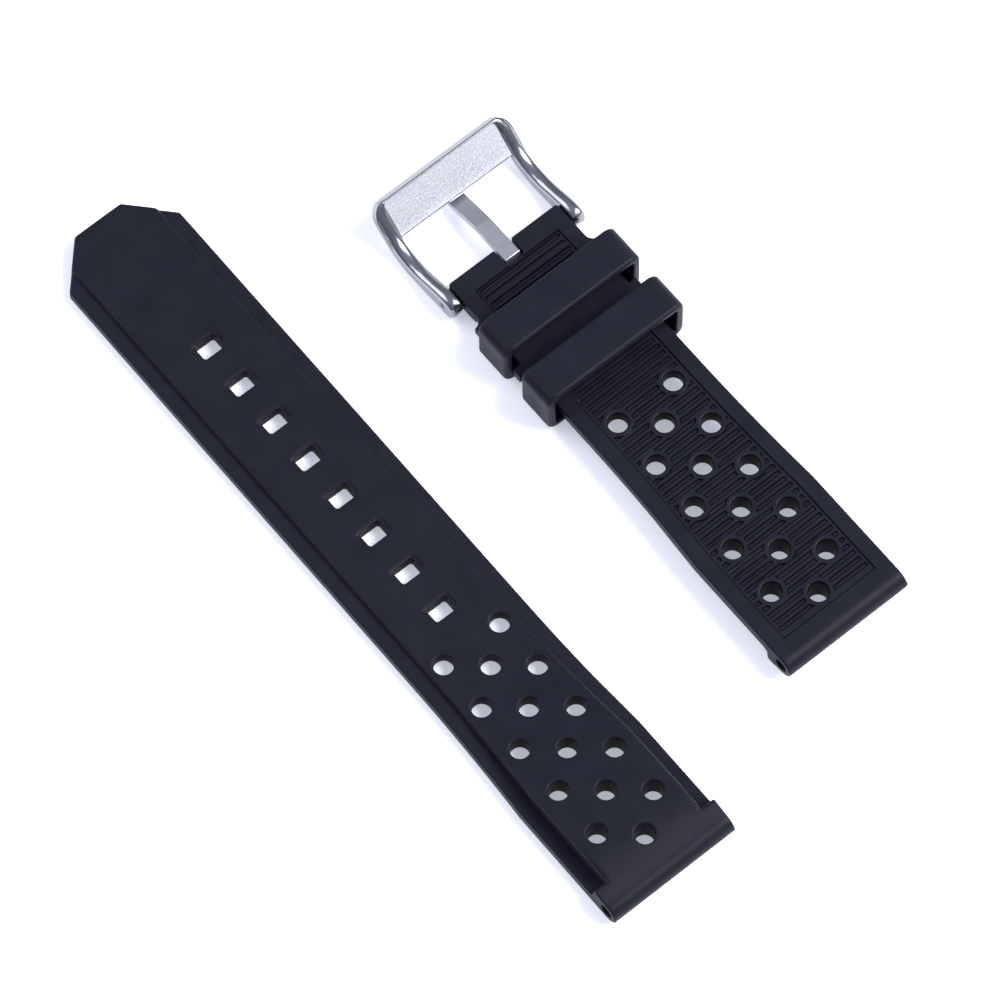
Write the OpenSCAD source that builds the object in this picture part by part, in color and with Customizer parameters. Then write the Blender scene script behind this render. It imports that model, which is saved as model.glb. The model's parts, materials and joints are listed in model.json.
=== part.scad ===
// Rubber rally watch strap in two halves. The tail half lies outer side up. The buckle
// half lies wrist side up, with its pin buckle, its sprung bar and its two loops.
// Each half is drawn from its lug end along +X, with its outer side up and its wrist face
// on z = 0, and is then laid down in its place.

/* [Strap] */
// Lug gap of the watch that the strap fits
lug_w = 20; // [19.4:0.1:21]
// Gap left between the strap and each lug
lug_gap = 0.1; // [0.05:0.05:0.3]
// Width of the tail half past its flare
tail_w = 18.4; // [17.6:0.1:19]
// Width of the buckle half past its flare
buckle_half_w = 18.4; // [17.4:0.1:18.8]
// Length of the tail half
tail_len = 118; // [114:1:126]
// Length of the rubber of the buckle half
buckle_half_len = 70; // [66:1:78]
// Thickness of the thin part of both halves
thin_t = 2.4; // [2.2:0.1:2.7]
// Greatest thickness of the padded part near the lugs
pad_t = 4.6; // [4:0.1:5]
// Distance of the thickest place from the lug end
pad_x = 7.5; // [7:0.1:8.5]
// Distance from the lug end at which the padding has run out
ramp_x = 41; // [38:1:44]
// Distance from the lug end at which the full lug width starts
full_w_x = 19; // [17:1:24]
// Radius of the round bead at the lug end
bead_r = 1.85; // [1.6:0.05:2]
// Bore for the watch's own spring bar
lug_bore_d = 1.9; // [1.5:0.1:2]

/* [Flanges] */
// Width of the low flange along each side
flange_w = 2.05; // [1.6:0.05:2.4]
// Thickness of the flange
flange_t = 1.8; // [1.6:0.05:2]
// Distance from the lug end at which the flange starts
flange_x = 4.4; // [4:0.1:5]
// Fillet between the flange and the lug end
flange_fillet = 1.1; // [0.6:0.1:1.6]

/* [Tail] */
// Width of the flat at the tip
tip_w = 7.6; // [6:0.2:10]
// Length of the two cut corners at the tip
tip_cut = 5.7; // [4:0.1:7]
// Number of tongue holes
tongue_holes = 8; // [6:1:9]
// Distance from the tip to the first tongue hole
first_hole_x = 23.4; // [20:0.2:26]
// Spacing of the tongue holes
hole_pitch = 6.8; // [6.4:0.1:7]
// Length of a tongue hole across the strap
hole_w = 3.2; // [2.8:0.1:4]
// Length of a tongue hole along the strap
hole_l = 2.4; // [2.2:0.1:3]
// Corner radius of a tongue hole
hole_r = 0.4; // [0.2:0.05:0.6]
// Width of the sunk frame round a tongue hole
hole_frame = 0.45; // [0.3:0.05:0.6]
// Depth of the sunk frame
hole_frame_d = 0.12; // [0.05:0.01:0.3]

/* [Rally holes] */
// Rows of two rally holes in each half
rally_rows = 5; // [3:1:5]
// Spacing of the rows
rally_pitch = 7.7; // [7.2:0.1:7.8]
// Distance of the outer holes from the centre line
rally_y = 4.65; // [4.3:0.05:4.9]
// Diameter of a rally hole
rally_d = 2.7; // [2.2:0.1:3]
// Distance from the lug end to the nearest rally hole
rally_end = 6.1; // [5.9:0.1:6.6]

/* [Ribbed wrist face] */
// Plain margin beside the ribbed field
field_margin = 2.25; // [2:0.05:2.8]
// Depth of the field below the margins
field_d = 0.2; // [0.1:0.05:0.3]
// Plain end between the field and the lug end
field_end = 3.9; // [3.6:0.1:4.4]
// Spacing of the ribs
rib_pitch = 1.13; // [1:0.01:1.4]
// Width of the groove between two ribs
groove_w = 0.5; // [0.4:0.05:0.6]
// Depth of the grooves
groove_d = 0.4; // [0.3:0.05:0.5]
// Ledge between the ends of the grooves and the edge of the field
groove_end = 0.35; // [0.2:0.05:0.6]
// Radius of the plain ring round each rally hole
ring_r = 2.1; // [1.8:0.05:2.4]
// Number of grooves in the short block beside the buckle
block_grooves = 4; // [3:1:4]

/* [Buckle end] */
// Distance of the buckle bar from the end of the rubber
bar_x = 1.5; // [1.4:0.05:1.8]
// Thickness of the rubber round the buckle bar
bar_end_t = 2.6; // [2.5:0.05:2.8]
// Length of the thicker end
bar_end_len = 5; // [4.6:0.1:6]
// Width of the slot for the tongue
slot_w = 2.85; // [2.7:0.05:3.4]
// Depth of the slot for the tongue
slot_d = 2.85; // [2.8:0.05:3.4]
// Corner radius of the slot
slot_r = 0.4; // [0.2:0.05:0.6]

/* [Loops] */
// Length of each loop along the strap
loop_len = 5.8; // [5:0.1:6.4]
// Gap between the full lug width and each side of a loop
loop_side = 0.25; // [0.1:0.05:0.4]
// Outer height of each loop
loop_h = 8.9; // [8.2:0.1:9.4]
// Wall of each loop
loop_wall = 1.25; // [1:0.05:1.35]
// Outer corner radius of each loop
loop_r = 1.2; // [0.8:0.1:1.6]
// Gap between a loop and the rubber that it lies on
loop_gap = 0.05; // [0.03:0.01:0.15]
// Play of the first loop between its stops
loop_play = 0.15; // [0.1:0.05:0.3]
// Distance from the end of the rubber to the first loop
first_loop_x = 8.8; // [8.5:0.05:10]
// Length of the stops beside the first loop
stop_len = 2.75; // [2:0.05:3.4]
// Overhang of each stop past the inside of a loop
stop_bite = 0.25; // [0.15:0.05:0.4]

/* [Buckle frame] */
// Play between the rubber and each arm of the frame
frame_play = 0.1; // [0.1:0.05:0.3]
// Thickness of an arm
arm_t = 2; // [1.5:0.1:2.1]
// Radius of the round end of an arm
arm_end_r = 1.7; // [1.5:0.05:1.8]
// Distance of the middle of the round end beyond the bar axis
arm_end_x = 0.5; // [0.2:0.1:0.6]
// Height of an arm at the foot of its curve
arm_h = 2.3; // [2:0.1:2.5]
// Distance from the bar axis to the lowest place of the frame
belly_x = 6.6; // [6:0.1:7.4]
// Radius of the outer curve of the frame
frame_r = 8.2; // [7.6:0.1:9]
// Angle at which the cross piece rises past its curve
rise_angle = 46; // [40:1:50]
// Thickness of the cross piece under its blasted face
face_t = 1.4; // [1.35:0.05:1.6]
// Thickness of the cross piece at its rim
rim_t = 1.65; // [1.6:0.05:1.9]
// Width of the polished rim
rim_w = 0.2; // [0.2:0.1:0.8]
// Distance from the bar axis to the edge of the window
window_x = 11.2; // [10.6:0.1:11.6]
// Distance from the bar axis to the outer rim
rim_x = 15.9; // [15.4:0.1:16.4]
// Corner radius of the frame seen from above
frame_corner_r = 2.1; // [1:0.1:2.6]

/* [Tongue] */
// Width of the tongue
tongue_w = 2.45; // [2:0.05:2.5]
// Thickness of the tongue
tongue_t = 1; // [0.9:0.05:1.1]
// Radius of the eye round the bar
eye_r = 1.15; // [1.1:0.01:1.18]
// Height of the top of the eye above the tongue
eye_rise = 0.05; // [0.03:0.01:0.1]
// Distance from the bar axis to the bend
bend_x = 5.5; // [4.8:0.1:6]
// Gap between the tongue and the floor of its channel
tongue_gap = 0.1; // [0.05:0.05:0.2]
// Gap between the tongue and each wall of its channel
channel_gap = 0.15; // [0.1:0.05:0.3]
// Depth of the channel under the cross piece
channel_d = 0.85; // [0.7:0.05:0.95]
// Distance inside the window at which the tongue meets the curve of its channel
tongue_lead = 1.1; // [0.6:0.1:1.6]
// Distance of the tip of the tongue from the outer rim
tongue_back = 1.7; // [1.4:0.1:3]
// Plain end left between the channel and the outer rim
channel_end = 1.1; // [0.8:0.1:1.2]
// Angle that the tongue drops from its seat at rest
tongue_drop = 0.8; // [0.4:0.1:1]

/* [Sprung bar] */
// Outer diameter of the tube
tube_d = 1.5; // [1.4:0.05:1.5]
// Wall of the tube
tube_wall = 0.2; // [0.15:0.01:0.22]
// Running clearance on radius of the parts of the bar
bar_fit = 0.04; // [0.02:0.01:0.06]
// Gap between the tube and each arm
tube_gap = 0.35; // [0.3:0.05:0.6]
// Diameter of the tips that enter the arms
tip_d = 0.8; // [0.7:0.05:0.85]
// Length of the lip that keeps each pin in the tube
tube_lip = 0.3; // [0.2:0.05:0.5]
// Length of the shank of each pin inside the tube
shank_len = 4; // [3.6:0.1:4.5]
// Depth at which a tip stays below the outside of its arm
tip_recess = 0.1; // [0.05:0.05:0.3]
// Diameter of the spring wire
wire_d = 0.2; // [0.15:0.01:0.22]
// Number of turns of the spring
spring_turns = 12; // [8:1:14]

/* [Layout] */
// Distance between the centre lines of the two halves
row_y = 38.4; // [37:0.1:44]
// Distance by which the buckle half lies back from the lug end of the tail half
lug_stagger = 11.4; // [8:0.1:16]

/* [Hidden] */
$fn = 48;
// Reach of a cutter past the faces that it cuts
cut = 1;
// Number of points along a smooth curve
curve_n = 14;
// Growth of each plain ring, so that a ring never just touches the edge of a groove
ring_ease = 0.003;
// Distance of the frame's plan outside its slanted rim
plan_ease = 0.05;
// Depth of the edges of an arm inside its round end, so that they cross it and never just touch it
arm_ease = 0.03;

strap_w = lug_w - 2 * lug_gap;
loop_in_w = strap_w + 2 * loop_side;
loop_w = loop_in_w + 2 * loop_wall;
loop_in_h = loop_h - 2 * loop_wall;
stop_w = loop_in_w + 2 * stop_bite;
loop_waist = loop_len + 2 * loop_play;
free_loop_x = first_loop_x + loop_len + stop_len + 2 * loop_play;
frame_gap = buckle_half_w + 2 * frame_play;
bore_r = tube_d / 2 + bar_fit;
bar_z = bar_end_t / 2;
loop_top_z = thin_t + loop_gap + loop_wall;
tube_len = frame_gap - 2 * tube_gap;
shank_r = tube_d / 2 - tube_wall - bar_fit;
// Distance from the middle of the bar to the inner face of each pin
pin_in = tube_len / 2 - tube_lip - bar_fit - shank_len;
// Height of the middle of the straight part of the tongue above the bar axis
tongue_z = eye_r - eye_rise - tongue_t / 2;

// The buckle half rests on its padding and on the first loop
lie_tilt = atan((pad_t - loop_top_z) / (buckle_half_len - first_loop_x - pad_x));
lie_h = pad_x * sin(lie_tilt) + pad_t * cos(lie_tilt);
mid_y = (row_y + loop_w / 2 - strap_w / 2) / 2;
lug_x = tail_len / 2;
buckle_lug_x = lug_x - lug_stagger;
// Centre of the buckle bar once the half is laid down
axis_x = buckle_lug_x - (buckle_half_len - bar_x) * cos(lie_tilt) + bar_z * sin(lie_tilt);
axis_z = lie_h - (buckle_half_len - bar_x) * sin(lie_tilt) - bar_z * cos(lie_tilt);

// Half the width of a strap at distance x from its lug end, w is its width past the flare.
// The flare is an arc that leaves the straight part without a kink.
function half_w(x, w) = x <= full_w_x ? strap_w / 2
    : x >= ramp_x ? w / 2
    : w / 2 + (strap_w - w) / 2 * pow((ramp_x - x) / (ramp_x - full_w_x), 2);

// Thickness at distance x, on a ramp that starts and ends level
function pad_z(x) = x >= ramp_x ? thin_t
    : x >= pad_x ? thin_t + (pad_t - thin_t) * (1 + cos(180 * (x - pad_x) / (ramp_x - pad_x))) / 2
    : 2 * bead_r + (pad_t - 2 * bead_r) * sin(90 * max(0, x - bead_r) / (pad_x - bead_r));

function flare_xs() = [for (i = [0 : curve_n]) full_w_x + i * (ramp_x - full_w_x) / curve_n];

// Outline of one long side of a strap, drawn in by inset from the edge
function side_points(w, inset, x0, x1) = concat([[x0, half_w(x0, w) - inset]],
    [for (x = flare_xs()) if (x > x0) [x, half_w(x, w) - inset]], [[x1, w / 2 - inset]]);

function mirrored(points) = [for (i = [len(points) - 1 : -1 : 0]) [points[i].x, -points[i].y]];

// Plan of a strap from x0 to x1, drawn in by inset
module plan(w, inset, x0, x1) {
    points = side_points(w, inset, x0, x1);
    polygon(concat(points, mirrored(points)));
}

// Side view of a strap, with end_t its thickness at the far end over end_len
module side_view(length, end_t, end_len) {
    bead = [for (i = [0 : curve_n]) let (a = 180 * i / curve_n)
        bead_r * [1 - sin(a), 1 - cos(a)]];
    crown = [for (i = [1 : curve_n]) bead_r + i * (pad_x - bead_r) / curve_n];
    ramp = [for (i = [1 : 2 * curve_n]) pad_x + i * (ramp_x - pad_x) / (2 * curve_n)];
    polygon(concat(bead,
        [for (x = concat(crown, ramp)) [x, pad_z(x)]],
        [[length - end_len - (end_t - thin_t), thin_t], [length - end_len, end_t],
            [length, end_t], [length, 0]]));
}

// Turns a side view in X and Z into a solid across the strap
module across(width) {
    rotate([90, 0, 0])
        linear_extrude(width, center = true)
            children();
}

// Cutter for the low flange on the +Y side, which ends in a fillet at the lug end
module flange_cut(w, x1) {
    edge = side_points(w, flange_w, 0, x1 + cut);
    intersection() {
        translate([0, 0, -cut])
            linear_extrude(pad_t + 2 * cut)
                polygon(concat(edge, [[x1 + cut, lug_w], [0, lug_w]]));
        across(3 * lug_w)
            difference() {
                translate([flange_x, flange_t])
                    square([x1, pad_t]);
                difference() {
                    translate([flange_x - cut, flange_t - cut])
                        square(flange_fillet + cut);
                    translate([flange_x + flange_fillet, flange_t + flange_fillet])
                        circle(flange_fillet);
                }
            }
    }
}

// Centres of the rally holes, the same distances from the lug end on both halves
function rally_points() = concat(
    [for (i = [0 : rally_rows - 1]) [rally_end + i * rally_pitch, 0]],
    [for (i = [0 : rally_rows - 1]) for (s = [-1, 1])
        [rally_end + (i + 0.5) * rally_pitch, s * rally_y]]);

module at_rally_holes() {
    for (p = rally_points())
        translate(p)
            children();
}

// Sunk field on the wrist face from x0 to x1 with its grooves, and plain islands as children
module ribbed_field(w, x0, x1, grooves) {
    first = (x0 + x1 - (grooves - 1) * rib_pitch) / 2;
    translate([0, 0, -cut])
        linear_extrude(cut + field_d)
            plan(w, field_margin, x0, x1);
    translate([0, 0, -cut])
        linear_extrude(cut + groove_d)
            intersection() {
                plan(w, field_margin + groove_end, x0, x1);
                difference() {
                    for (i = [0 : grooves - 1])
                        translate([first + i * rib_pitch - groove_w / 2, -lug_w / 2])
                            square([groove_w, lug_w]);
                    at_rally_holes()
                        circle(ring_r + ring_ease);
                    children();
                }
            }
}

// Number of grooves that fit between x0 and x1 with a rib to spare
function groove_count(x0, x1) = floor((x1 - x0) / rib_pitch) - 1;

// A rectangle centred on the origin with round corners
module soft_rect(size, r) {
    square([size.x - 2 * r, size.y], center = true);
    square([size.x, size.y - 2 * r], center = true);
    for (sx = [-1, 1], sy = [-1, 1])
        translate([sx * (size.x / 2 - r), sy * (size.y / 2 - r)])
            circle(r);
}

module cross_bore(x, z, r) {
    translate([x, 0, z])
        rotate([90, 0, 0])
            cylinder(h = 2 * lug_w, r = r, center = true);
}

module at_tongue_holes() {
    for (i = [0 : tongue_holes - 1])
        translate([tail_len - first_hole_x - i * hole_pitch, 0])
            children();
}

// Tail half: padded lug end, rally holes, tongue holes and a cut tip
module tail_strap() {
    color("#2b2b34")
        lay_tail()
            difference() {
                intersection() {
                    across(2 * lug_w)
                        side_view(tail_len, thin_t, tip_cut);
                    linear_extrude(pad_t + cut)
                        tail_plan();
                }
                tail_cuts();
            }
}

module tail_plan() {
    side = concat(side_points(tail_w, 0, 0, tail_len - tip_cut), [[tail_len, tip_w / 2]]);
    polygon(concat(side, mirrored(side)));
}

module tail_cuts() {
    for (s = [0, 1])
        mirror([0, s, 0])
            flange_cut(tail_w, tail_len);
    cross_bore(bead_r, bead_r, lug_bore_d / 2);
    translate([0, 0, -cut])
        linear_extrude(pad_t + 2 * cut)
            at_rally_holes()
                circle(d = rally_d);
    translate([0, 0, -cut])
        linear_extrude(pad_t + 2 * cut)
            at_tongue_holes()
                soft_rect([hole_l, hole_w], hole_r);
    translate([0, 0, thin_t - hole_frame_d])
        linear_extrude(cut)
            at_tongue_holes()
                soft_rect([hole_l + 2 * hole_frame, hole_w + 2 * hole_frame], hole_r);
    field_x1 = tail_len - first_hole_x + hole_pitch / 2;
    ribbed_field(tail_w, field_end, field_x1, groove_count(field_end, field_x1))
        at_tongue_holes()
            soft_rect([hole_l + 2 * hole_frame, hole_w + 2 * hole_frame], hole_r);
}

// Buckle half: the same lug end, two pairs of stops and a slotted end for the bar
module buckle_strap() {
    color("#2b2b34")
        lay_buckle_half()
            difference() {
                union() {
                    intersection() {
                        across(2 * lug_w)
                            side_view(buckle_half_len, bar_end_t, bar_end_len);
                        linear_extrude(pad_t + cut)
                            plan(buckle_half_w, 0, 0, buckle_half_len);
                    }
                    linear_extrude(flange_t)
                        loop_stops();
                }
                buckle_half_cuts();
            }
}

// Plan of the stops that hold the first loop, with a drawn-in neck before them
module loop_stops() {
    neck = (stop_w - buckle_half_w) / 2;
    for (x = [first_loop_x - loop_play, first_loop_x + loop_waist - loop_play + stop_len])
        translate([buckle_half_len - x, 0])
            stop_pair(neck);
}

// One pair of stops from the origin along +X, each with a hollow neck on its far side
module stop_pair(neck) {
    for (s = [-1, 1])
        scale([1, s])
            difference() {
                translate([0, buckle_half_w / 2 - cut])
                    square([stop_len, neck + cut]);
                translate([stop_len, stop_w / 2])
                    circle(neck);
            }
}

module buckle_half_cuts() {
    for (s = [0, 1])
        mirror([0, s, 0])
            intersection() {
                flange_cut(buckle_half_w, buckle_half_len);
                cube([buckle_half_len - bar_end_len - cut, lug_w, pad_t + cut]);
            }
    cross_bore(bead_r, bead_r, lug_bore_d / 2);
    cross_bore(buckle_half_len - bar_x, bar_z, bore_r);
    translate([0, 0, -cut])
        linear_extrude(pad_t + 2 * cut)
            at_rally_holes()
                circle(d = rally_d);
    translate([buckle_half_len, 0, -cut])
        linear_extrude(pad_t + 2 * cut)
            soft_rect([2 * slot_d, slot_w], slot_r);
    field_x1 = buckle_half_len - free_loop_x - loop_len / 2;
    block_x1 = buckle_half_len - slot_d - groove_w / 2;
    ribbed_field(buckle_half_w, field_end, field_x1, groove_count(field_end, field_x1));
    ribbed_field(buckle_half_w, block_x1 - block_grooves * rib_pitch, block_x1, block_grooves);
}

// A loop that starts at the origin and runs along +X, lying against the outer face
module loop() {
    translate([0, 0, loop_top_z - loop_h / 2])
        rotate([90, 0, 90])
            linear_extrude(loop_len)
                difference() {
                    soft_rect([loop_w, loop_h], loop_r);
                    soft_rect([loop_in_w, loop_in_h], loop_r - loop_wall / 2);
                }
}

module first_loop() {
    color("#30303a")
        lay_buckle_half()
            translate([buckle_half_len - first_loop_x - loop_len, 0, 0])
                loop();
}

module free_loop() {
    color("#30303a")
        lay_buckle_half()
            translate([buckle_half_len - free_loop_x - loop_len, 0, 0])
                loop();
}

// Slope of the frame's outer curve at x: an arc that runs on straight at rise_angle
function curve_angle(x) = asin(min((x - belly_x) / frame_r, sin(rise_angle)));

// Point at a height off the frame's outer curve at x
function curve_at(x, height) = let (a = curve_angle(x)) [height * sin(a) - x,
    frame_r * (1 - cos(a)) + (x - belly_x - frame_r * sin(a)) * tan(a) + height * cos(a) - axis_z];

// Points off the frame's outer curve from x0 to x1, at heights from t0 to t1
function curve_points(x0, x1, t0, t1) = [for (i = [0 : curve_n])
    curve_at(x0 + (x1 - x0) * i / curve_n, t0 + (t1 - t0) * i / curve_n)];

// Band along the frame's outer curve from x0 to x1, between two heights off it
module curve_band(x0, x1, t0, t1) {
    polygon(concat(curve_points(x0, x1, t0, t0), reversed(curve_points(x0, x1, t1, t1))));
}

// Side view of the frame without the round ends of its arms: the arm, then the curve up to the rim
module frame_view() {
    foot = arm_h - axis_z;
    end_h = arm_end_r - arm_ease;
    polygon(concat(
        [[arm_end_x, -end_h]],
        curve_points(belly_x, rim_x, 0, 0),
        reversed(curve_points(belly_x, rim_x, arm_h, rim_t)),
        [for (i = [1 : curve_n]) let (u = i / curve_n)
            [u * (arm_end_x + belly_x) - belly_x, foot + (end_h - foot) * (1 - cos(180 * u)) / 2]]));
}

// Plan of the frame: round corners at the rim, square ends at the bar
module frame_plan() {
    outer = frame_gap + 2 * arm_t;
    translate([arm_end_r - (rim_x + plan_ease) / 2, 0])
        soft_rect([rim_x + plan_ease + 2 * arm_end_r, outer], frame_corner_r);
    translate([0, -outer / 2])
        square([arm_end_x + 2 * arm_end_r, outer]);
}

// Buckle frame: two arms and a curved cross piece with a sunk face and a tongue channel
module buckle_frame() {
    color("#b9bcc0")
        at_axis()
            difference() {
                intersection() {
                    union() {
                        across(frame_gap + 2 * arm_t)
                            frame_view();
                        translate([arm_end_x, 0, 0])
                            across(frame_gap + 2 * arm_t)
                                circle(arm_end_r);
                    }
                    translate([0, 0, -2 * frame_r])
                        linear_extrude(4 * frame_r)
                            frame_plan();
                }
                frame_cuts();
            }
}

module frame_cuts() {
    translate([-window_x, -frame_gap / 2, -frame_r])
        cube([2 * window_x, frame_gap, 2 * frame_r]);
    across(frame_gap)
        curve_band(belly_x, rim_x - rim_w, face_t, 2 * arm_h);
    across(tongue_w + 2 * channel_gap)
        curve_band(belly_x, rim_x - channel_end, -cut, channel_d);
    rotate([90, 0, 0])
        cylinder(h = 2 * lug_w, r = tip_d / 2 + bar_fit, center = true);
}

// Points beside a path at a distance of off, without its first point
function beside(path, off) = [for (i = [1 : len(path) - 1])
    let (way = path[min(i + 1, len(path) - 1)] - path[i - 1])
        path[i] + off * [-way.y, way.x] / norm(way)];

function reversed(points) = [for (i = [len(points) - 1 : -1 : 0]) points[i]];

// Side view of the tongue: round the eye, straight, bent down, then along the channel
module tongue_view() {
    mid_h = channel_d - tongue_gap - tongue_t / 2;
    path = concat([[0, tongue_z], [-bend_x, tongue_z]],
        curve_points(window_x - tongue_lead, rim_x - tongue_back, mid_h, mid_h));
    eye_from = 180 - asin((tongue_z + tongue_t / 2) / eye_r);
    eye_to = -180 - asin((tongue_z - tongue_t / 2) / eye_r);
    eye = [for (i = [0 : 2 * curve_n]) let (a = eye_from + (eye_to - eye_from) * i / (2 * curve_n))
        eye_r * [cos(a), sin(a)]];
    polygon(concat(eye, beside(path, tongue_t / 2), reversed(beside(path, -tongue_t / 2))));
}

module buckle_tongue() {
    color("#a9abae")
        at_axis()
            rotate([0, -tongue_drop, 0])
                difference() {
                    across(tongue_w)
                        tongue_view();
                    rotate([90, 0, 0])
                        cylinder(h = 2 * tongue_w, r = bore_r, center = true);
                }
}

// Tube of the sprung bar, with a lip at each end that keeps the pins in
module bar_tube() {
    color("#c4c6c9")
        at_axis()
            rotate([90, 0, 0])
                difference() {
                    cylinder(h = tube_len, d = tube_d, center = true);
                    cylinder(h = tube_len - 2 * tube_lip, r = tube_d / 2 - tube_wall, center = true);
                    cylinder(h = 2 * tube_len, r = tip_d / 2 + bar_fit, center = true);
                }
}

// Pin along +Z from its inner face, with a tip that reaches the outside of an arm
module bar_pin() {
    translate([0, 0, pin_in])
        cylinder(h = shank_len, r = shank_r);
    translate([0, 0, pin_in])
        cylinder(h = frame_gap / 2 + arm_t - tip_recess - pin_in, d = tip_d);
}

module left_bar_pin() {
    color("#c4c6c9")
        at_axis()
            rotate([90, 0, 0])
                bar_pin();
}

module right_bar_pin() {
    color("#c4c6c9")
        at_axis()
            rotate([-90, 0, 0])
                bar_pin();
}

// Spring between the pins, one unbroken wire of six-sided section
module bar_spring() {
    color("#8d9095")
        at_axis()
            rotate([90, 0, 0])
                spring_coil();
}

module spring_coil() {
    steps = 12;
    sides = 6;
    coil_r = shank_r - wire_d / 2;
    span = 2 * pin_in - wire_d - 2 * bar_fit;
    rings = spring_turns * steps;
    points = [for (i = [0 : rings]) for (k = [0 : sides - 1])
        let (a = 360 * i / steps, b = 360 * k / sides, r = coil_r + wire_d / 2 * cos(b))
            [r * cos(a), r * sin(a), span * (i / rings - 0.5) + wire_d / 2 * sin(b)]];
    skin = [for (i = [0 : rings - 1]) for (k = [0 : sides - 1])
        let (a = i * sides + k, b = i * sides + (k + 1) % sides)
            for (f = [[a, b, b + sides], [a, b + sides, a + sides]]) f];
    first_cap = [for (k = [1 : sides - 2]) [0, k + 1, k]];
    last_cap = [for (k = [1 : sides - 2]) [rings * sides, rings * sides + k, rings * sides + k + 1]];
    polyhedron(points, concat(skin, first_cap, last_cap), convexity = 10);
}

// Places of the two halves and of the buckle bar
module lay_tail() {
    translate([lug_x, -mid_y, 0])
        rotate([0, 0, 180])
            children();
}

module lay_buckle_half() {
    translate([buckle_lug_x, row_y - mid_y, lie_h])
        rotate([0, 180 - lie_tilt, 0])
            children();
}

module at_axis() {
    translate([axis_x, row_y - mid_y, axis_z])
        children();
}

tail_strap();
buckle_strap();
first_loop();
free_loop();
buckle_frame();
buckle_tongue();
bar_tube();
bar_spring();
left_bar_pin();
right_bar_pin();
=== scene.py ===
"""Rubber rally watch strap, dressed over its packed construction model.

Each half is drawn in a plan of its own: x runs from the lug end, y across, z towards the outer
side, and the wrist face lies on z = 0. All sizes are real ones, in metres.
"""

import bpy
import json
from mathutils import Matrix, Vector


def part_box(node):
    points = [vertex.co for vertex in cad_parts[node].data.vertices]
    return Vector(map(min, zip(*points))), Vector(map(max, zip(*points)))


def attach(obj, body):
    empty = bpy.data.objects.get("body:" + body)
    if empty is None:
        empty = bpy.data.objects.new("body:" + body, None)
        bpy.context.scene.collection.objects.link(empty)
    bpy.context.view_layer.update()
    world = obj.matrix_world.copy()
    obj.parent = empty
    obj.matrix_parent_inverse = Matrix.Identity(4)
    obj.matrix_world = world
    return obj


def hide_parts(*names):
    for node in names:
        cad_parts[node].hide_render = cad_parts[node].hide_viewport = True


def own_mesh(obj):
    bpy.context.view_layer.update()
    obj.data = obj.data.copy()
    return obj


bl_info = {
    "name": "Rubber rally watch strap",
    "version": (1, 0, 0),
    "blender": (4, 5, 0),
    "location": "View3D > Sidebar > Strap",
    "description": "Builds a two-piece rubber rally strap with its pin buckle and loops",
    "category": "Object",
}

import json
from math import asin, atan2, ceil, cos, floor, hypot, pi, radians, sin, sqrt, tan

import bmesh
import bpy
import numpy as np
from bpy.props import FloatProperty, IntProperty, PointerProperty, StringProperty
from mathutils import Matrix, Vector
from mathutils.geometry import delaunay_2d_cdt

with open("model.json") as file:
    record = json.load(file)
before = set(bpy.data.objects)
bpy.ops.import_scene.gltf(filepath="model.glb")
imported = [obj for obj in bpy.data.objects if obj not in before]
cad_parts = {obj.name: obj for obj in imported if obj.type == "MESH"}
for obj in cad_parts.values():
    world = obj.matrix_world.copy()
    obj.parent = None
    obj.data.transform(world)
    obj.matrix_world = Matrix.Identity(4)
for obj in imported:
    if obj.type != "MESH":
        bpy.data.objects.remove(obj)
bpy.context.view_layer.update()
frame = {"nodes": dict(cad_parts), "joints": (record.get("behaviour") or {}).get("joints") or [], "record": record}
MM = 0.001
# Points closer than this count as one
WELD = 2e-7
# Half the width in the plan of a step that is drawn sharp
STEP = 0.05 * MM
# A line of a net that would touch another one ends this far before it
INSIDE = 0.01 * MM


def setting(kind, text, value, **unit):
    """A value that a user may change, named by its text as far as the first comma."""
    return kind(name=text.partition(",")[0], description=text, default=value, **unit)


def length(text, value):
    """A size, written here in millimetres and kept in metres."""
    return setting(FloatProperty, text, value * MM, precision=5, unit="LENGTH")


def colour(text, value):
    """A colour, as an sRGB hex value."""
    return setting(StringProperty, text, value)


def node_width(name, axis):
    """How far a node of the frame reaches along an axis, in millimetres."""
    low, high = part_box(name)
    return (high[axis] - low[axis]) / MM


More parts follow.
